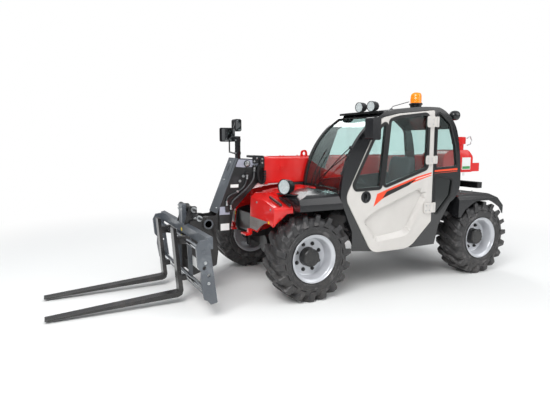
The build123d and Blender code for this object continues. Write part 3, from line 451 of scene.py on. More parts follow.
def rounded(corners, steps=6):
    # a closed outline; a corner is (across, up) or, turned into an arc, (across, up, radius)
    points = []
    for i, corner in enumerate(corners):
        here = Vector(corner[:2])
        if len(corner) == 2:
            points.append(here)
            continue
        back = (Vector(corners[i - 1][:2]) - here).normalized()
        ahead = (Vector(corners[(i + 1) % len(corners)][:2]) - here).normalized()
        half = back.angle(ahead) / 2
        middle = here + (back + ahead).normalized() * corner[2] / math.sin(half)
        start, end = here + back * corner[2] / math.tan(half), here + ahead * corner[2] / math.tan(half)
        for k in range(steps + 1):
            spoke = (start - middle).lerp(end - middle, k / steps)
            points.append(middle + spoke.normalized() * corner[2])
    return points


def boxLine(left, right, low, high, radius):
    # the corners of an upright box outline, each with the same radius
    return [(left, low, radius), (left, high, radius), (right, high, radius), (right, low, radius)]


def grown(points, amount):
    # the same closed outline moved outwards by an amount in mm, or inwards where it is negative
    area = sum(a.x * b.y - b.x * a.y for a, b in zip(points, points[1:] + points[:1]))
    turn = 1 if area > 0 else -1
    moved = []
    for i, here in enumerate(points):
        back = (here - points[i - 1]).normalized()
        ahead = (points[(i + 1) % len(points)] - here).normalized()
        outwards = Vector((back.y + ahead.y, -back.x - ahead.x)) * turn
        if outwards.length < 1e-6:
            outwards = Vector((back.y, -back.x)) * turn
        outwards.normalize()
        lean = max(0.5, outwards.dot(Vector((back.y, -back.x)) * turn))
        moved.append(here + outwards * amount / lean)
    return moved


def ringOf(form, inner, outer, depth):
    # an upright band between two outlines with like points, run between two depths along Y
    loops = [[form.verts.new(Vector((p.x, y, p.y)) * mm) for p in line] for line, y in
             ((inner, depth[0]), (outer, depth[0]), (outer, depth[1]), (inner, depth[1]))]
    joinRings(form, loops + loops[:1])


def boltOf(form, place, axis, across=24, material=0):
    # a hexagon head on its washer, standing on a face at place and pointing along axis
    washer = across * 0.1
    turned(form, [(0, across * 0.62), (washer, across * 0.62)], place, axis, 20, material)
    turned(form, [(washer, across * 0.56), (across * 0.42, across * 0.56), (across * 0.5, across * 0.46)],
           place, axis, 6, material)


# wheels
wheelLook = {
    "tyreSteps": 96,
    "lugsEachSide": 18,
    "lugTopWidth": 46,
    "lugFootWidth": 60,
    "nutCircle": 135,
    "nuts": 8,
    "hubBolts": 12,
}
axleHeight = (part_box("rim_fl")[0].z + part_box("rim_fl")[1].z) / 2 / mm
wheelMiddle = 752.5
# the tyre's section, from the outer bead over the tread: (distance out, radius); the step that guards the rim
# is on the outer flank alone
rimGuard = (138, 256)
tyreHalf = [
    (106, 216), (118, 226), (126, 240), rimGuard, (142, 266), (147, 290), (148, 315), (145, 340),
    (138, 362), (126, 378), (104, 390), (60, 399),
]
tyreSection = tyreHalf + [(0, 403)] + [(-p[0], p[1]) for p in reversed(tyreHalf) if p != rimGuard]
# moulded rings on both side walls: (radius, distance out)
tyreRings = [(250, 131), (268, 141.5), (300, 148)]
# a lug's line over the tread: distance out from the middle, distance round it, radius of its top and foot
lugLine = [
    (-8, 50, 431, 400), (20, 36, 431, 399), (50, 19, 431, 396), (80, 0, 431, 390), (105, -16, 431, 382),
    (130, -32, 430, 366), (145, -40, 425, 352), (150, -44, 414, 342), (152, -46, 390, 334),
    (151, -47, 352, 326),
]
# the rim and its hub: (Y, radius)
rimSection = [
    (758, 92), (758, 168), (760, 180), (766, 189), (800, 194), (840, 198), (850, 202), (868, 205),
    (874, 209), (880, 222), (884, 229), (889, 233), (893, 236), (894, 239), (892, 241), (888, 240),
    (880, 230), (872, 218), (862, 216), (645, 216), (630, 222), (620, 238), (613, 240), (611, 236),
    (618, 224), (636, 207), (700, 200), (745, 196), (745, 92),
]
hubSection = [(741, 60), (741, 96), (760, 96), (766, 92), (828, 91), (838, 88), (845, 80), (846, 60)]


def wheelPoint(out, round_, radius, turn, side, x):
    # a point of a wheel: out along the axle, round_ mm round the tread at this turn
    angle = turn + round_ / radius
    y, z = side * (wheelMiddle + out), axleHeight + radius * math.sin(angle)
    return Vector((x + radius * math.cos(angle), y, z))


def makeTyre(tag, x, side):
    form = newForm()
    centre, axis, steps = (x, side * wheelMiddle, axleHeight), (0, 1, 0), wheelLook["tyreSteps"]
    turned(form, [(side * out, radius) for out, radius in tyreSection], centre, axis, steps, closed=True)
    for ring, out in tyreRings:
        for flank in (-side, side):
            section = [(out - 3, ring - 4), (out + 3, ring - 2), (out + 3, ring + 2), (out - 3, ring + 4)]
            turned(form, [(flank * d, r) for d, r in section], centre, axis, steps, closed=True)
    half, base = wheelLook["lugTopWidth"] / 2, wheelLook["lugFootWidth"] / 2
    for flank, start in ((1, 0.0), (-1, 0.5)):
        for lug in range(wheelLook["lugsEachSide"]):
            turn = 2 * math.pi * (lug + start) / wheelLook["lugsEachSide"]
            rows = []
            for out, round_, top, foot in lugLine:
                inner = foot - 4
                rows.append([
                    form.verts.new(wheelPoint(flank * o, side * flank * (round_ + w), r, turn, side, x) * mm)
                    for o, w, r in ((out - 3, -base, inner), (out, -half - 1, top - 3), (out, -half + 3, top),
                                    (out, half - 3, top), (out, half + 1, top - 3), (out - 3, base, inner))
                ])
            joinRings(form, rows)
            form.faces.new(rows[0])
            form.faces.new(rows[-1])
    bmesh.ops.recalc_face_normals(form, faces=form.faces)
    keepPiece(f"tyreMoulding_{tag}", form, [tyreRubber], bodyOf[f"tyre_{tag}"], sharp=40,
              replaced=[f"tyre_{tag}"])


def makeRim(tag, x, side):
    centre, axis = (x, side * wheelMiddle, axleHeight), (0, 1, 0)
    form = newForm()

    def out(pairs):
        return [(side * (distance - wheelMiddle), radius) for distance, radius in pairs]

    def around(count, shift, radius, distance):
        # places on a circle of this radius about the axle
        turns = [2 * math.pi * (k + shift) / count for k in range(count)]
        return [(x + radius * math.cos(t), side * distance, axleHeight + radius * math.sin(t)) for t in turns]

    turned(form, out(rimSection), centre, axis, 96, closed=True)
    # the hub's cover with its raised bolts, in black
    turned(form, out(hubSection), centre, axis, 64, 1)
    turned(form, out([(845.5, 30), (845.5, 52), (847, 52), (847, 30)]), centre, axis, 40, 1, closed=True)
    for place in around(wheelLook["hubBolts"], 0, 74, 844):
        boltOf(form, place, (0, side, 0), 13, 1)
    # wheel nuts on their studs
    for place in around(wheelLook["nuts"], 0.5, wheelLook["nutCircle"], 758):
        boltOf(form, place, (0, side, 0), 33, 1)
        turned(form, [(16, 9), (26, 9), (28, 7)], place, (0, side, 0), 12, 1)
    bmesh.ops.recalc_face_normals(form, faces=form.faces)
    keepPiece(f"wheelRim_{tag}", form, [rimPaint, chassisPaint], bodyOf[f"rim_{tag}"],
              replaced=[f"rim_{tag}"])


for tag, side in (("fl", 1), ("fr", -1), ("rl", 1), ("rr", -1)):
    low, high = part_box(f"rim_{tag}")
    wheelX = (low.x + high.x) / 2 / mm
    makeTyre(tag, wheelX, side)
    makeRim(tag, wheelX, side)
print("wheels made")


# nodes dressed from their own mesh
dressLook = {
    "weldGap": 0.02,  # mm between corners that are one
    "flatAngle": 0.6,  # degrees that a flat face may stray
    "pressing": (872, -410, 1060),  # Y of its floor in the door, and the X and Z that bound it
    "pressingDepth": 26,  # how much deeper than the solid's the door's pressing is
}


def formFromNode(node):
    # a clean copy of a CAD node's mesh: joined corners, flat faces made whole
    form = newForm()
    form.from_mesh(nodes[node].data)
    bmesh.ops.remove_doubles(form, verts=form.verts, dist=dressLook["weldGap"] * mm)
    bmesh.ops.dissolve_limit(form, angle_limit=math.radians(dressLook["flatAngle"]), verts=form.verts,
                             edges=form.edges)
    return form


def dressNode(node, name, finishes, slot, edge, choose=None):
    # a CAD node's shape with rounded edges and its real finish; choose(centre) picks one of several finishes
    form = formFromNode(node)
    if node == "door_shell":
        # a deeper pressing, so that its crescent catches the light
        floor, right, top = dressLook["pressing"]
        for vert in form.verts:
            x, y, z = vert.co / mm
            if abs(y - floor) < 0.5 and x < right and z < top:
                vert.co.y -= dressLook["pressingDepth"] * mm
    for face in form.faces:
        face.material_index = choose(face.calc_center_median() / mm) if choose else 0
    piece = keepPiece(name, form, finishes, bodyOf[node], replaced=[node])
    if edge:
        softenEdges(piece, edge)
    if tintedGlass in finishes:
        piece.visible_shadow = False  # daylight passes the panes and lights the cab


def turretOrFrame(centre):
    return 1 if centre.z > 860 and centre.x < -1740 else 0


def clearOrDark(centre):
    return 1 if centre.x < -1355 and centre.z < 1200 and centre.y > 700 else 0


def capOrTank(centre):
    return 1 if centre.x < -2256 else 0


plainPieces = [
    # node, piece, finishes, slot, edge radius in mm, and what chooses between two finishes
    ("chassis_frame", "chassisPlates", [chassisPaint, redPaint], "frame_black", 2, turretOrFrame),
    ("boom_pivot_pin", "boomPivotPin", [zinc], "steel", 1),
    ("front_nose", "frontNose", [redPaint], "body_red", 3),
    ("tail_weight", "tailWeight", [chassisPaint], "frame_black", 4),
    ("front_axle", "frontAxleBeam", [chassisPaint], "frame_black", 3),
    ("rear_axle", "rearAxleBeam", [chassisPaint], "frame_black", 3),
    ("front_fenders", "frontMudguards", [mouldedPlastic], "plastic_black", 2),
    ("rear_fenders", "rearMudguards", [mouldedPlastic], "plastic_black", 2),
    ("engine_block", "engineBlock", [enginePaint], "engine", 6),
    ("engine_tray", "engineTray", [chassisPaint], "frame_black", 2),
    ("cab_frame", "cabShell", [cabPaint], "frame_black", 3),
    ("cab_glass", "cabPanes", [tintedGlass, darkGlass], "glass", 0, clearOrDark),
    ("mirror_left", "leftMirror", [mouldedPlastic], "plastic_black", 3),
    ("mirror_right", "rightMirrors", [mouldedPlastic], "plastic_black", 3),
    ("tail_lamps", "tailLamps", [mouldedPlastic], "lamp_red", 3),
    ("rear_tank", "rearTank", [redPaint, chassisPaint], "body_red", 4, capOrTank),
    ("nose_grilles", "noseGrilles", [gridSteel], "grille_grey", 1),
    ("door_shell", "doorPanel", [doorPaint], "door_white", 2),
    ("door_glass", "doorPanes", [tintedGlass], "glass", 0),
    ("door_latch", "doorLatch", [mouldedPlastic], "plastic_black", 1.5),
    ("engine_hood", "engineHood", [redPaint], "body_red", 3),
    ("boom_outer", "boomTube", [redPaint], "body_red", 3),
    ("boom_inner", "boomInnerTube", [chassisPaint], "frame_black", 3),
    ("boom_head", "boomHead", [chassisPaint], "frame_black", 2),
    ("head_straps", "headStraps", [slatePaint], "head_grey", 1.5),
    ("tilt_barrel", "tiltCylinderTube", [chassisPaint], "frame_black", 2),
    ("tilt_rocker", "tiltRocker", [chassisPaint], "frame_black", 2),
    ("tilt_rod", "tiltCylinderRod", [chrome], "chrome", 1),
    ("quick_coupler", "quickCoupler", [couplerPaint], "head_grey", 2),
    ("fork_carriage", "forkCarriage", [slatePaint], "head_grey", 2),
    ("shift_cylinders", "shiftCylinders", [chassisPaint], "frame_black", 2),
    ("fork_left", "leftFork", [forkPaint], "fork_black", 3),
    ("fork_right", "rightFork", [forkPaint], "fork_black", 3),
    ("lift_barrel", "liftCylinderTube", [chassisPaint], "frame_black", 2),
    ("lift_rod", "liftCylinderRod", [chrome], "chrome", 1),
]
for row in plainPieces:
    dressNode(*row)
for tag in ("fl", "fr", "rl", "rr"):
    dressNode(f"knuckle_{tag}", f"steeringKnuckle_{tag}", [chassisPaint], "frame_black", 2)
print("plain pieces dressed")


# cab fittings
cabLook = {
    "sealWidth": 26,
    "sealLip": 7,
    "sealProud": 4,
    "wiperRadius": 5,
    "stripeThick": 0.6,
}
# window openings as (X, Z, corner radius)
frontWindow = [(-300, 1090, 25), (-600, 1095, 25), (-660, 1745, 15), (-590, 1700, 60), (-500, 1560),
               (-275, 1130, 30)]
rearWindow = [(-650, 1105, 25), (-1225, 1280, 40), (-1225, 1845, 50), (-830, 1800, 100), (-715, 1770, 30)]
quarterWindow = [(-1360, 1270, 25), (-1680, 1285, 25), (-1640, 1520, 150), (-1545, 1760, 150),
                 (-1360, 1885, 25)]
lowerQuarter = [(-1360, 1190, 25), (-1625, 1140, 30), (-1600, 960, 60), (-1370, 730, 30)]
rightWindow = [(-330, 1130, 30), (-1620, 1200, 40), (-1560, 1700, 120), (-1350, 1850, 90), (-800, 1820, 120),
               (-560, 1700, 60)]


def makeSeals():
    # extruded seals: a lip inside each opening and a band round it
    wide, lip, proud = cabLook["sealWidth"], cabLook["sealLip"], cabLook["sealProud"]

    def sealOf(form, window, depth, band=None, bandDepth=None):
        line = rounded(window)
        ringOf(form, grown(line, -lip), grown(line, -0.2), depth)
        if band:
            ringOf(form, grown(line, -lip), grown(line, band), bandDepth)

    form = newForm()
    for window in (frontWindow, rearWindow):
        sealOf(form, window, (846, 886), wide, (884.2, 884 + proud))
    keepPiece("doorWindowSeals", form, [sealRubber], "door")
    form = newForm()
    for window in (quarterWindow, lowerQuarter):
        sealOf(form, window, (846, 882), 14, (880.2, 883))
    sealOf(form, rightWindow, (126, 159))
    keepPiece("cabWindowSeals", form, [sealRubber], "chassis")


def screenX(z):
    # X of the windscreen's outer face at a height, on the arc through three of the frame's points
    (ax, az), (bx, bz), (cx, cz) = (-631, 1851), (-238, 1475), (-121, 990)
    d = 2 * (ax * (bz - cz) + bx * (cz - az) + cx * (az - bz))
    a, b, c = ax**2 + az**2, bx**2 + bz**2, cx**2 + cz**2
    ux = (a * (bz - cz) + b * (cz - az) + c * (az - bz)) / d
    uz = (a * (cx - bx) + b * (ax - cx) + c * (bx - ax)) / d
    radius = math.hypot(ax - ux, az - uz)
    return ux + math.sqrt(radius**2 - (z - uz) ** 2)


def screenPoint(off, y, z):
    # a point this far in front of the windscreen
    return (screenX(z) + off, y, z)


def makeScreenTrim():
    # the windscreen's rubber frame, then the wiper's arms and blade, lying just off the glass
    form = newForm()
    heights = [1012 + (1812 - 1012) * k / 24 for k in range(25)]
    for y in (164, 841):
        tubeOf(form, [screenPoint(-8, y, z) for z in heights], 8, 8)
    for z in (1014, 1811):
        tubeOf(form, [screenPoint(-8, y, z) for y in (162, 843)], 8, 8)
    keepPiece("windscreenSeal", form, [sealRubber], "chassis")
    form = newForm()
    off, thin = 24, cabLook["wiperRadius"]
    shares = [k / 12 for k in range(13)]
    for (y0, z0), (y1, z1) in (((862, 1500), (470, 1098)), ((866, 1425), (372, 1090))):
        tubeOf(form, [screenPoint(off, y0 + (y1 - y0) * s, z0 + (z1 - z0) * s) for s in shares], thin, 8)
    # the blade and its holders, across the feet of the arms
    holder = screenPoint(off - 4, 410, 1140)
    tubeOf(form, [screenPoint(off, 470, 1098), holder, screenPoint(off, 372, 1090)], thin, 8)
    tubeOf(form, [screenPoint(10, 300 + 150 * s, 1060 + 420 * s) for s in shares], 6, 6)
    tubeOf(form, [holder, screenPoint(12, 375, 1270)], 4, 6)
    for y, z in ((862, 1500), (866, 1425)):
        turned(form, [(0, 16), (20, 16), (24, 12)], screenPoint(6, y, z), (1, 0.2, 0.2), 20)
    keepPiece("windscreenWiper", form, [mouldedPlastic], "chassis")
    # the rod of an aerial on the roof
    form = newForm()
    turned(form, [(0, 20), (14, 16), (18, 8)], (-1036, 500, 1911), (0, 0, 1), 20)
    tubeOf(form, [(-1036, 500, 1925), (-1060, 500, 1950), (-1290, 500, 2008)], 4, 8)
    keepPiece("roofAerial", form, [mouldedPlastic], "chassis")


def makeDoorTrim():
    face, thick = 884.1, cabLook["stripeThick"]
    under, over = (face, face + thick), (face + thick, face + 2 * thick)
    form = newForm()
    # the long orange stripe across the door, its black field and its white line
    plateOf(form, [(-521, 900), (-565, 1029), (-800, 1103), (-1084, 1187), (-1299, 1230), (-1299, 1196),
                   (-1100, 1142), (-1011, 1118), (-820, 1052), (-632, 974)], under, sidePlace, 0)
    plateOf(form, [(-632, 980), (-689, 1048), (-1091, 1167), (-986, 1103)], over, sidePlace, 1)
    plateOf(form, [(-1000, 1128), (-1110, 1164), (-1299, 1206), (-1299, 1212), (-1110, 1171), (-1000, 1139)],
            over, sidePlace, 2)
    keepPiece("doorStripe", form, [stripeOrange, stripeBlack, stripeWhite], "door")
    form = newForm()
    for low, high in ((1238, 1262), (1222, 1230)):
        plateOf(form, [(-1345, low - 6), (-1688, low + 6), (-1687, high + 4), (-1345, high - 12)],
                (883.2, 883.8), sidePlace)
    keepPiece("rearPanelStripe", form, [stripeOrange], "chassis")
    # three cast hinges: leaf on the door, knuckle on the axis and a short leaf on the frame
    leaf, fixed = newForm(), newForm()
    for low, high in ((782, 902), (1316, 1412), (1710, 1830)):
        plateOf(leaf, rounded([(-1303, low, 4), (-1303, high, 4), (-1200, high, 22), (-1200, low, 22)], 4),
                (889, 899), sidePlace)
        turned(leaf, [(low + 8, 17), (high - 8, 17)], (-1315, 892, 0), (0, 0, 1), 24)
        top, foot = high - 4, low + 4
        plateOf(fixed, rounded([(-1372, foot, 10), (-1372, top, 10), (-1334, top, 4), (-1334, foot, 4)], 3),
                (880.2, 892), sidePlace)
        for z in (low + 34, high - 34):
            for x in (-1280, -1228):
                boltOf(leaf, (x, 899, z), (0, 1, 0), 11, 1)
    softenEdges(keepPiece("doorHinges", leaf, [doorPaint, zinc], "door"), 2.5)
    softenEdges(keepPiece("hingeSeats", fixed, [doorPaint], "chassis"), 2)
    # the pull and the lock inside the round latch
    form = newForm()
    turned(form, [(0, 12), (3, 12), (3, 8)], (-424, 877, 968), (0, 1, 0), 24)
    plateOf(form, rounded(boxLine(-438, -410, 988, 1040, 8), 3), (880, 884), sidePlace)
    keepPiece("latchPull", form, [mouldedPlastic], "door")


makeSeals()
makeScreenTrim()
makeDoorTrim()
print("cab seals, wiper and door trim made")


# seat and steering
seatLook = {
    "cushionCrown": 22,
    "backCrown": 18,
    "sidePull": 0.06,
    "channelDepth": 0.25,
    "padGrid": 18,
    "bellows": (612, 634, 656, 678),
    "rimRadius": 172,
    "gripRadius": 13,
}


def padOf(form, centre, size, lean, crown):
    # a crowned pad: its faces bulge, its sides pull in between the corners and its edges are round
    across, deep, tall = (value / 2 for value in size)
    ball = newForm()
    bmesh.ops.create_cube(ball, size=2)
    bmesh.ops.subdivide_edges(ball, edges=ball.edges, cuts=seatLook["padGrid"], use_grid_fill=True)
    turn = Vector((0, 0, 1)).rotation_difference(Vector(lean))
    seen = {}
    for vert in ball.verts:
        u, v, w = vert.co
        # rounded box, then the crown and the pull between corners
        length = (abs(u) ** 6 + abs(v) ** 6 + abs(w) ** 6) ** (1 / 6)
        u, v, w = u / length, v / length, w / length
        pull = 1 - seatLook["sidePull"] * (1 - v * v) * abs(u)
        pullV = 1 - seatLook["sidePull"] * (1 - u * u) * abs(v)
        channel = seatLook["channelDepth"] * math.exp(-((abs(v) - 0.52) / 0.05) ** 2) * (1 - abs(u) ** 4)
        lift = (1 - u * u) * (1 - v * v) * crown * (1 if w > 0 else 0.2) - channel * crown
        point = Vector((u * across * pull, v * deep * pullV, w * tall + (lift if w > 0 else -lift)))
        seen[vert] = form.verts.new((Vector(centre) + turn @ point) * mm)
    for face in ball.faces:
        form.faces.new([seen[vert] for vert in face.verts])
    ball.free()


def makeSeat():
    for name, centre, size, lean, crown in (
        ("seatCushion", (-958, 500, 762), (330, 380, 96), (-0.05, 0, 1), seatLook["cushionCrown"]),
        ("seatBack", (-1180, 500, 1108), (600, 372, 84), (0.984, 0, 0.175), seatLook["backCrown"]),
    ):
        form = newForm()
        padOf(form, centre, size, lean, crown)
        pad = keepPiece(name, form, [seatVinyl], "chassis", sharp=80, replaced=["driver_seat"])
    # the seat's pan, bellows and runners
    form = newForm()
    pan = [(-1130, 690, 12), (-1140, 716, 10), (-800, 716, 12), (-806, 690, 12)]
    plateOf(form, rounded(pan, 3), (320, 680), sidePlace)
    for low in seatLook["bellows"]:
        plateOf(form, rounded(boxLine(-1118, -862, 345, 655, 30), 4), (low - 10, low), topPlace)
        plateOf(form, rounded(boxLine(-1108, -872, 355, 645, 30), 4), (low, low + 12), topPlace)
    for y in (380, 620):
        blockOf(form, (-1150, -830), (y - 18, y + 18), (590, 602))
    softenEdges(keepPiece("seatPan", form, [mouldedPlastic], "chassis",
                          replaced=["driver_seat"]), 2)


def makeControls():
    # dashboard, column, and a wheel with a round rim and three spokes
    form = newForm()
    board = [(-420, 900, 20), (-420, 990, 40), (-350, 1020, 20), (-330, 1020), (-330, 900)]
    plateOf(form, rounded(board), (200, 760), sidePlace)
    plateOf(form, rounded(boxLine(-420, -380, 440, 560, 6), 3), (590, 901), topPlace)
    softenEdges(keepPiece("dashboard", form, [mouldedPlastic], "chassis",
                          replaced=["cab_controls"]), 3)
    form = newForm()
    middle, axis = Vector((-557, 500, 1117)), Vector((-0.7071, 0, 0.7071))
    turned(form, [(0, 30), (150, 26), (205, 22)], (-400, 500, 960), (-1, 0, 1), 24)
    rim, grip = seatLook["rimRadius"], seatLook["gripRadius"]
    turns = [2 * math.pi * k / 12 for k in range(12)]
    section = [(grip * math.sin(t), rim + grip * math.cos(t)) for t in turns]
    turned(form, section, middle, axis, 56, closed=True)
    turned(form, [(-12, 40), (10, 44), (16, 36)], middle, axis, 32)
    side, up = Vector((0, 1, 0)), Vector((0.7071, 0, 0.7071))
    for turn in (0, 180, 270):
        out = side * math.cos(math.radians(turn)) + up * math.sin(math.radians(turn))
        tubeOf(form, [middle + out * 30, middle + out * 100 - axis * 6, middle + out * 168], 9, 10)
    keepPiece("steeringWheel", form, [mouldedPlastic], "chassis", replaced=["cab_controls"])


makeSeat()
makeControls()
print("seat and steering made")


# lamps, beacon and mirrors
lampLook = {
    "lensCrown": 6,
    "workLampRadius": 52,
    "headlampRadius": 77,
}
# shell and bowl of a round lamp: (share of its depth, share of its radius)
lampShell = [(0, 0.55), (0.1, 0.66), (0.2, 0.84), (0.4, 0.93), (0.88, 0.99), (0.9, 1), (1, 1), (1, 0.93),
             (0.94, 0.91), (0.5, 0.8), (0.3, 0.3)]
lampBowl = [(0.93, 0.90), (0.7, 0.82), (0.52, 0.62), (0.44, 0.3), (0.44, 0.12), (0.6, 0.1), (0.62, 0.02)]


def roundLamp(forms, back, axis, radius, depth):
    # a black shell from back to lens, a plated bowl inside it and a crowned clear lens
    shell, bowl, lens = forms
    turned(shell, [(depth * d, radius * r) for d, r in lampShell], back, axis, 40)
    turned(bowl, [(depth * d, radius * r) for d, r in lampBowl], back, axis, 40)
    rim, crown = depth * 0.985, lampLook["lensCrown"]
    turned(lens, [(depth * 0.95, radius * 0.92), (rim, radius * 0.91), (rim + crown * 0.7, radius * 0.6),
                  (rim + crown, radius * 0.1)], back, axis, 40)


def keepLamps(name, forms, node):
    for part, form, finish, slot in zip(("Shells", "Bowls", "Lenses"), forms,
                                        (mouldedPlastic, reflector, lensPlastic),
                                        ("plastic_black", "chrome", "glass")):
        keepPiece(name + part, form, [finish], "chassis", replaced=[node])


def makeLamps():
    forms = shell, bowl, lens = newForm(), newForm(), newForm()
    for x, y in ((-590, 612), (-602, 792)):
        roundLamp(forms, (x, y, 1916), (0.97, 0.2, -0.04), lampLook["workLampRadius"], 98)
        blockOf(shell, (x + 40, x + 64), (y - 10, y + 10), (1866, 1878))
        tubeOf(shell, [(x + 52, y, 1866), (x + 52, y, 1876)], 8, 8)
    # behind the roof: a rounded shell on an arm, with its lens at the back
    back, axis = (-1736, 700, 1857), (-1, 0, 0)
    turned(shell, [(0, 18), (6, 34), (26, 50), (60, 56), (92, 54), (98, 52)], back, axis, 40)
    turned(bowl, [(98, 50), (90, 40), (84, 10)], back, axis, 40)
    turned(lens, [(97, 51), (103, 44), (107, 10)], back, axis, 40)
    tubeOf(shell, [(-1745, 700, 1842), (-1650, 700, 1822), (-1566, 700, 1800)], 11, 10)
    keepLamps("roofLamp", forms, "work_lamps")
    forms = [newForm() for part in range(3)]
    shell = forms[0]
    for side in (-1, 1):
        roundLamp(forms, (262, side * 560, 1114), (0.92, side * 0.39, 0.03), lampLook["headlampRadius"], 118)
        # the foot and its plate on the mudguard
        turned(shell, [(0, 17), (34, 15)], (300, side * 570, 1030), (0, 0, 1), 16)
        blockOf(shell, (262, 338), span(side, 545, 595), (1024, 1036))
        plateOf(shell, [(396, side * 500), (262, side * 470), (236, side * 700), (300, side * 722)],
                (1036, 1046), topPlace)
    keepLamps("headlamp", forms, "headlamps")
    # tail lamps: three lenses in each black box
    form = newForm()
    for side in (-1, 1):
        for low, high, which in ((262, 400, 0), (404, 500, 1), (504, 608, 0)):
            blockOf(form, (-2426, -2419), span(side, low, high), (993, 1052), which)
    softenEdges(keepPiece("tailLampLenses", form, [redLens, amberPlastic], "chassis"), 2.5)


def makeBeacon():
    base, lens = newForm(), newForm()
    place = (-1392, 500, 1914)
    turned(base, [(0, 60), (40, 62), (58, 66), (62, 74), (76, 76), (82, 70), (82, 20)], place, (0, 0, 1), 48)
    turned(lens, [(82, 66), (88, 66), (90, 62), (104, 61), (106, 63), (120, 61.5), (122, 63.5), (136, 61),
                  (138, 63), (152, 60), (154, 62), (172, 59), (186, 55), (196, 44), (201, 20)],
           place, (0, 0, 1), 48)
    keepPiece("beaconBase", base, [mouldedPlastic], "chassis", replaced=["beacon"])
    keepPiece("beaconLens", lens, [amberPlastic], "chassis", replaced=["beacon"])


def makeMirrors():
    form = newForm()
    plateOf(form, rounded(boxLine(277, 453, 1570, 1722, 12), 4), (-909, -907.5), sidePlace)
    plateOf(form, rounded(boxLine(178, 242, 1702, 1834, 12), 4), (-960.5, -959), sidePlace)
    keepPiece("rightMirrorGlass", form, [mirrorGlass], "chassis")
    form = newForm()
    glass = [(972, 1590, 14), (1068, 1590, 14), (1068, 1774, 14), (972, 1774, 14)]
    plateOf(form, rounded(glass, 4), (-431.5, -430), frontPlace)
    keepPiece("leftMirrorGlass", form, [mirrorGlass], "chassis")
    # bolted clamps round the mirror's post, and its cap
    form = newForm()
    for z in (1400, 1560):
        turned(form, [(0, 40), (34, 40)], (265, -850, z), (0, 0, 1), 28)
        boltOf(form, (300, -822, z + 17), (0.8, 0.6, 0), 15, 1)
    turned(form, [(0, 38), (10, 36), (14, 20)], (265, -850, 1615), (0, 0, 1), 28)
    keepPiece("mirrorPostClamps", form, [mouldedPlastic, zinc], "chassis")


makeLamps()
makeBeacon()
makeMirrors()
print("lamps, beacon and mirrors made")


# boom, head and hoses
headLook = {
    "boltAcross": 20,
    "hoseRadius": 11,
    "linkLength": 24,
    "linkWidth": 26,
    "cheek": 120,  # Y of the head's cheeks
}


def makeBoomTrim():
    form = newForm()
    for side in (-1, 1):
        # the weld along the side, a small cover and its two screws
        blockOf(form, (-2140, 304), span(side, 109.5, 113), (1238, 1244))
        blockOf(form, (92, 168), span(side, 109.5, 116), (1262, 1316))
        for x in (106, 154):
            boltOf(form, (x, side * 116, 1289), (0, side, 0), 11)
    for x in range(-1240, 300, 220):
        for y in (40, -40):
            boltOf(form, (x, y, 1402), (0, 0, 1), 14)
    softenEdges(keepPiece("boomSideTrim", form, [redPaint], "boom"), 1.5)
    # the moulded guide of the hoses at the boom's mouth, with its bolts and its chain of links
    form = newForm()
    for outline, depth in (
        ([(360, 1388, 6), (360, 1412, 10), (492, 1416, 10), (492, 1390, 6)], (-40, 128)),
        ([(358, 1285, 14), (358, 1400, 10), (412, 1400, 10), (412, 1285, 14)], (104, 132)),
        ([(426, 1330, 10), (426, 1408, 8), (492, 1408, 8), (492, 1330, 10)], (121, 138)),
    ):
        plateOf(form, rounded(outline, 3), depth, sidePlace)
    for x, y, z in ((381, 132, 1334), (381, 132, 1376), (445, 138, 1386), (474, 138, 1352)):
        boltOf(form, (x, y, z), (0, 1, 0), 16, 1)
    links = [(430, 1318), (437, 1290), (441, 1262), (443, 1234), (442, 1206), (438, 1178), (430, 1152),
             (417, 1130), (398, 1118), (380, 1126), (369, 1148), (364, 1174), (362, 1202), (362, 1230),
             (362, 1258)]
    long, wide = headLook["linkLength"] / 2, headLook["linkWidth"] / 2
    for (x0, z0), (x1, z1) in zip(links, links[1:]):
        run = Vector((x1 - x0, z1 - z0)).normalized()
        flat = Vector((-run.y, run.x)) * wide
        middle = Vector(((x0 + x1) / 2, (z0 + z1) / 2))
        corners = [middle + run * a + flat * b for a, b in ((-long, -1), (long, -1), (long, 1), (-long, 1))]
        plateOf(form, corners, (134, 162), sidePlace)
    softenEdges(keepPiece("hoseGuide", form, [mouldedPlastic, zinc], "telescope"), 2)


def frontX(z):
    # X of the head's painted front plate at a height
    return 665 + (1389 - z) * 235 / 565.5


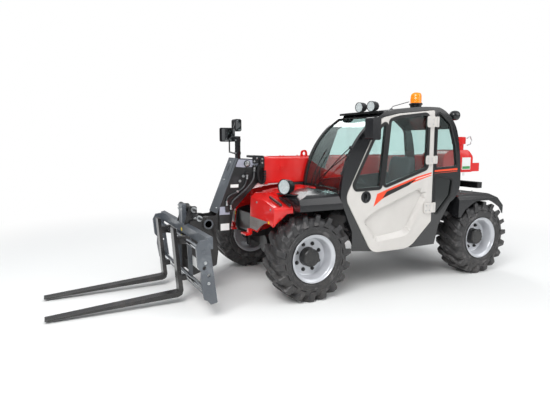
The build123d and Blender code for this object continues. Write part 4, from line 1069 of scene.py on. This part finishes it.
def makeHeadTrim():
    form = newForm()
    out, cheek = (0.924, 0, 0.383), headLook["cheek"]
    # bolts on the front plate, and between them a near-black sheet in a slot's outline: painted shade
    # standing for the slot's dark hollow
    for z in (1342, 1160):
        boltOf(form, (frontX(z) + 5, -8, z), out, headLook["boltAcross"])
    boltOf(form, (frontX(870) - 0.3, 60, 870), out, 16)
    keepPiece("headPlateBolts", form, [zinc], "telescope")
    # a flat near-black sheet on the plate, painted shade where a slot would be
    form = newForm()
    slot = []
    for k in range(16):
        turn = 2 * math.pi * k / 16
        along = 24 * math.cos(turn) + (10 if math.cos(turn) > 0 else -10)
        slot.append((9 * math.sin(turn) - 8, 1280 + along))
    slabOf(form, *([(frontX(z) + off, y, z) for y, z in slot] for off in (5.4, 6.2)))
    keepPiece("headPlateSlotShade", form, [sealRubber], "telescope")
    # the pin caps on both cheeks
    form = newForm()
    for side in (-1, 1):
        turned(form, [(0, 26), (5, 26), (7, 22), (7, 12), (4, 10)], (556, side * 130, 1330), (0, side, 0), 32)
        boltOf(form, (574, side * 134, 1330), (0, side, 0), 10)
    keepPiece("headPinCaps", form, [zinc], "telescope")
    # a painted sky reflection: thin grey-lavender sheets along each cheek's top and over the sloping box
    # below, where the black head's faces tilt up
    form = newForm()
    top = rounded([(425, 1296, 4), (425, 1366, 8), (650, 1376, 6), (684, 1300, 6), (610, 1292, 10)], 3)
    shoulder = ((765, 119, 887), (862, 119, 887), (878, 146.5, 807), (765, 146.5, 807))
    for side in (-1, 1):
        plateOf(form, top, span(side, cheek, cheek + 3), sidePlace)
        corners = [Vector((x, side * y, z)) for x, y, z in shoulder]
        slabOf(form, corners, [corner + Vector((0, side * 1.5, 1)) for corner in corners])
    bmesh.ops.recalc_face_normals(form, faces=form.faces)
    keepPiece("cheekTopSkyReflection", form, [skyReflectionPaint], "telescope")
    # blank plates on the cheek and on the box below
    form = newForm()
    plateOf(form, [(654, 1083), (742, 1083), (742, 1116), (654, 1116)], (120.1, 121), sidePlace)
    plateOf(form, [(772, 643), (868, 643), (868, 714), (772, 714)], (146.1, 147), sidePlace)
    keepPiece("headBlankPlates", form, [stripeWhite], "telescope")
    # hose fittings: nut and collar where each hose meets its block, and three unions on the cheek
    form = newForm()
    for x, z, aim in ((475, 1290, -1), (746, 856, 1), (560, 1215, -1), (790, 900, 1)):
        turned(form, [(0, 15), (14, 15), (15, 13), (30, 12.6)], (x, 133, z), (0, 0, aim), 6)
        turned(form, [(30, 13.4), (48, 13.2)], (x, 133, z), (0, 0, aim), 20)
    for x, z in ((600, 1200), (640, 1150), (668, 1040)):
        turned(form, [(0, 15), (16, 15)], (x, cheek, z), (0, 1, 0), 6)
        turned(form, [(16, 9), (24, 9)], (x, cheek, z), (0, 1, 0), 20)
    keepPiece("hoseFittings", form, [zinc], "telescope")


# the two hoses on the head's left cheek: control points of each run in metres
hoseRoutes = [
    ("headHose_long", [(0.475, 0.133, 1.290), (0.475, 0.133, 1.225), (0.505, 0.172, 1.150),
                       (0.585, 0.172, 1.065), (0.670, 0.133, 0.985), (0.746, 0.133, 0.925),
                       (0.746, 0.133, 0.856)]),
    ("headHose_short", [(0.560, 0.133, 1.215), (0.560, 0.133, 1.120), (0.650, 0.133, 1.040),
                        (0.770, 0.133, 1.000), (0.790, 0.133, 0.950), (0.790, 0.133, 0.900)]),
]


def makeHoses():
    for name, route in hoseRoutes:
        curve = bpy.data.curves.new(name, "CURVE")
        curve.dimensions = "3D"
        curve.bevel_depth = headLook["hoseRadius"] * mm
        curve.bevel_resolution = 4
        curve.resolution_u = 12
        curve.use_fill_caps = True
        spline = curve.splines.new("NURBS")
        spline.points.add(len(route) - 1)
        for point, place in zip(spline.points, route):
            point.co = (*place, 1)
        spline.order_u = 3
        spline.use_endpoint_u = True
        curve.materials.append(hoseRubber)
        piece = linked(name, curve)
        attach(piece, "telescope")
        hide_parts("head_hoses")


makeBoomTrim()
makeHeadTrim()
makeHoses()
print("boom, head and hoses made")


# carriage
carriageLook = {
    "shaftRadius": 24,
    "endBolt": 24,
    "endFace": 870,  # Y of the end plates' outer faces
    "shafts": ((1284, 616), (1253, 246)),  # X and Z of each
    "pin": (1011, 188, 728),  # the head's pin on the coupler's left boss
}


def makeCarriageTrim():
    end, radius = carriageLook["endFace"], carriageLook["shaftRadius"]
    form = newForm()
    shaft = [(end - 4, radius), (end - 2, radius - 0.5), (end, radius - 4)]
    for x, z in carriageLook["shafts"]:
        turned(form, [(-y, r) for y, r in reversed(shaft)] + shaft, (x, 0, z), (0, 1, 0), 48)
    keepPiece("slideShafts", form, [chrome], "carriage", replaced=["carriage_shafts"])
    # caps over the shafts' ends, and the bolts between them
    caps, bolts = newForm(), newForm()
    for side in (-1, 1):
        for x, z in carriageLook["shafts"]:
            turned(caps, [(0, 25), (3, 25), (4, 23.5), (4, 15), (2.4, 14), (2.4, 3)], (x, side * end, z),
                   (0, side, 0), 40)
        for x, z in ((1272, 517), (1246, 330)):
            boltOf(bolts, (x, side * end, z), (0, side, 0), carriageLook["endBolt"])
    keepPiece("shaftEndCaps", caps, [slatePaint], "carriage")
    # worn rings round the head's pin on the coupler's bosses, and the pin's black face inside them
    form = newForm()
    x, y, z = carriageLook["pin"]
    for side in (-1, 1):
        turned(form, [(-1, 50), (2, 50), (3, 48.5), (3, 37), (2, 35.5), (-1, 35.5)], (x, side * y, z),
               (0, side, 0), 48)
        turned(form, [(-6, 33.5), (-4, 32), (-4, 2)], (x, side * y, z), (0, side, 0), 40, 1)
    keepPiece("couplerPinRings", form, [slatePaint, sealRubber], "carriage")
    for y in (-60, 40):
        boltOf(bolts, (1246, y, 880), (1, 0, 0), 22)
    keepPiece("carriageBolts", bolts, [zinc], "carriage")
    # the blank plate between the shafts and a yellow mark on the upper beam
    form = newForm()
    blockOf(form, (1188, 1192), (60, 410), (330, 428), 0)
    blockOf(form, (1246.5, 1247.6), (6, 40), (656, 690), 1)
    keepPiece("carriageMarks", form, [stripeWhite, stripeYellow], "carriage")
    # unions and collars on the pair of shift cylinders
    form = newForm()
    for y, z in ((300, 818), (-300, 880), (-120, 818), (120, 880)):
        turned(form, [(0, 11), (14, 11)], (1172, y, z), (1, 0, 0), 6)
        turned(form, [(14, 7), (24, 7)], (1172, y, z), (1, 0, 0), 16)
    for y, z in ((330, 818), (-330, 880), (-150, 818), (150, 880)):
        turned(form, [(-6, 29), (6, 29)], (1150, y, z), (0, 1, 0), 32)
    keepPiece("shiftUnions", form, [zinc], "carriage")


makeCarriageTrim()
print("carriage trim made")


# nose, mudguards, tank and hood
bodyLook = {
    "noseScrew": 17,
    "fenderScrews": ((-52, 760, 1072, 0.1, 15), (200, 740, 1063, 0.1, 15), (-2000, 660, 969, 0, 17),
                     (-2200, 660, 960, 0, 17)),  # X, Y, Z, lean outwards and size
}


def noseX(z):
    # X of the nose's front face at a height
    return 564 - (z - 640) * 12 / 345


def makeBodyTrim():
    bolts, marks, bars = newForm(), newForm(), newForm()
    for side in (-1, 1):
        for y, z in ((368, 948), (690, 912)):
            boltOf(bolts, (noseX(z), side * y, z), (1, 0, 0.03), bodyLook["noseScrew"])
        for near, far, low, high in ((206, 221, 745, 784), (641, 668, 770, 792)):
            x = noseX(low)
            blockOf(marks, (x - 2, x + 1.2), span(side, near, far), (low, high))
        # flat black stays behind the nose's upper edge
        for x, (y0, z0), (y1, z1) in ((470, (500, 1012), (742, 958)), (392, (560, 1006), (778, 952))):
            tubeOf(bars, [(x, side * y0, z0), (x, side * y1, z1)], 13, 4)
        # the thin rod under the lip
        tubeOf(bars, [(580, side * 223, 604), (580, side * 223, 470)], 5, 8)
        for x, y, z, lean, across in bodyLook["fenderScrews"]:
            boltOf(bolts, (x, side * y, z), (0, lean * side, 1), across)
    keepPiece("bodyBolts", bolts, [zinc], "chassis")
    keepPiece("noseMarks", marks, [stripeYellow], "chassis")
    keepPiece("noseStays", bars, [chassisPaint], "chassis")


def makeTankTrim():
    # cap, filler ring and the grey loop, then blank plates on the tank's side
    form = newForm()
    turned(form, [(0, 58), (64, 58), (70, 62), (74, 80), (150, 80), (158, 74), (160, 40)], (-2110, 500, 1458),
           (0, 0, 1), 40)
    loop = ((-2180, 1600), (-2235, 1622), (-2262, 1580), (-2245, 1530), (-2190, 1515))
    tubeOf(form, [(x, 560, z) for x, z in loop], 7, 10, 1)
    keepPiece("tankCap", form, [redPaint, zinc], "chassis")
    form = newForm()
    plateOf(form, [(-2073, 1222), (-2218, 1222), (-2218, 1369), (-2073, 1369)], (600.2, 601.2), sidePlace)
    plateOf(form, [(-2082, 1230), (-2209, 1230), (-2209, 1262), (-2082, 1262)], (601.2, 601.8), sidePlace, 1)
    blockOf(form, (-2120, -2092), (600.2, 606), (1150, 1185))
    keepPiece("tankPlates", form, [stripeWhite, stripeGreen], "chassis")


def makeHoodTrim():
    # two latches low on the hood's side, each with a slot across it
    form = newForm()
    for x in (-1480, -410):
        turned(form, [(0, 26), (6, 26), (8, 22)], (x, -893, 640), (0, -1, 0), 32)
        blockOf(form, (x - 5, x + 5), (-905, -899), (624, 656))
    keepPiece("hoodLatches", form, [mouldedPlastic], "hood")


makeBodyTrim()
makeTankTrim()
makeHoodTrim()
print("body trim made")
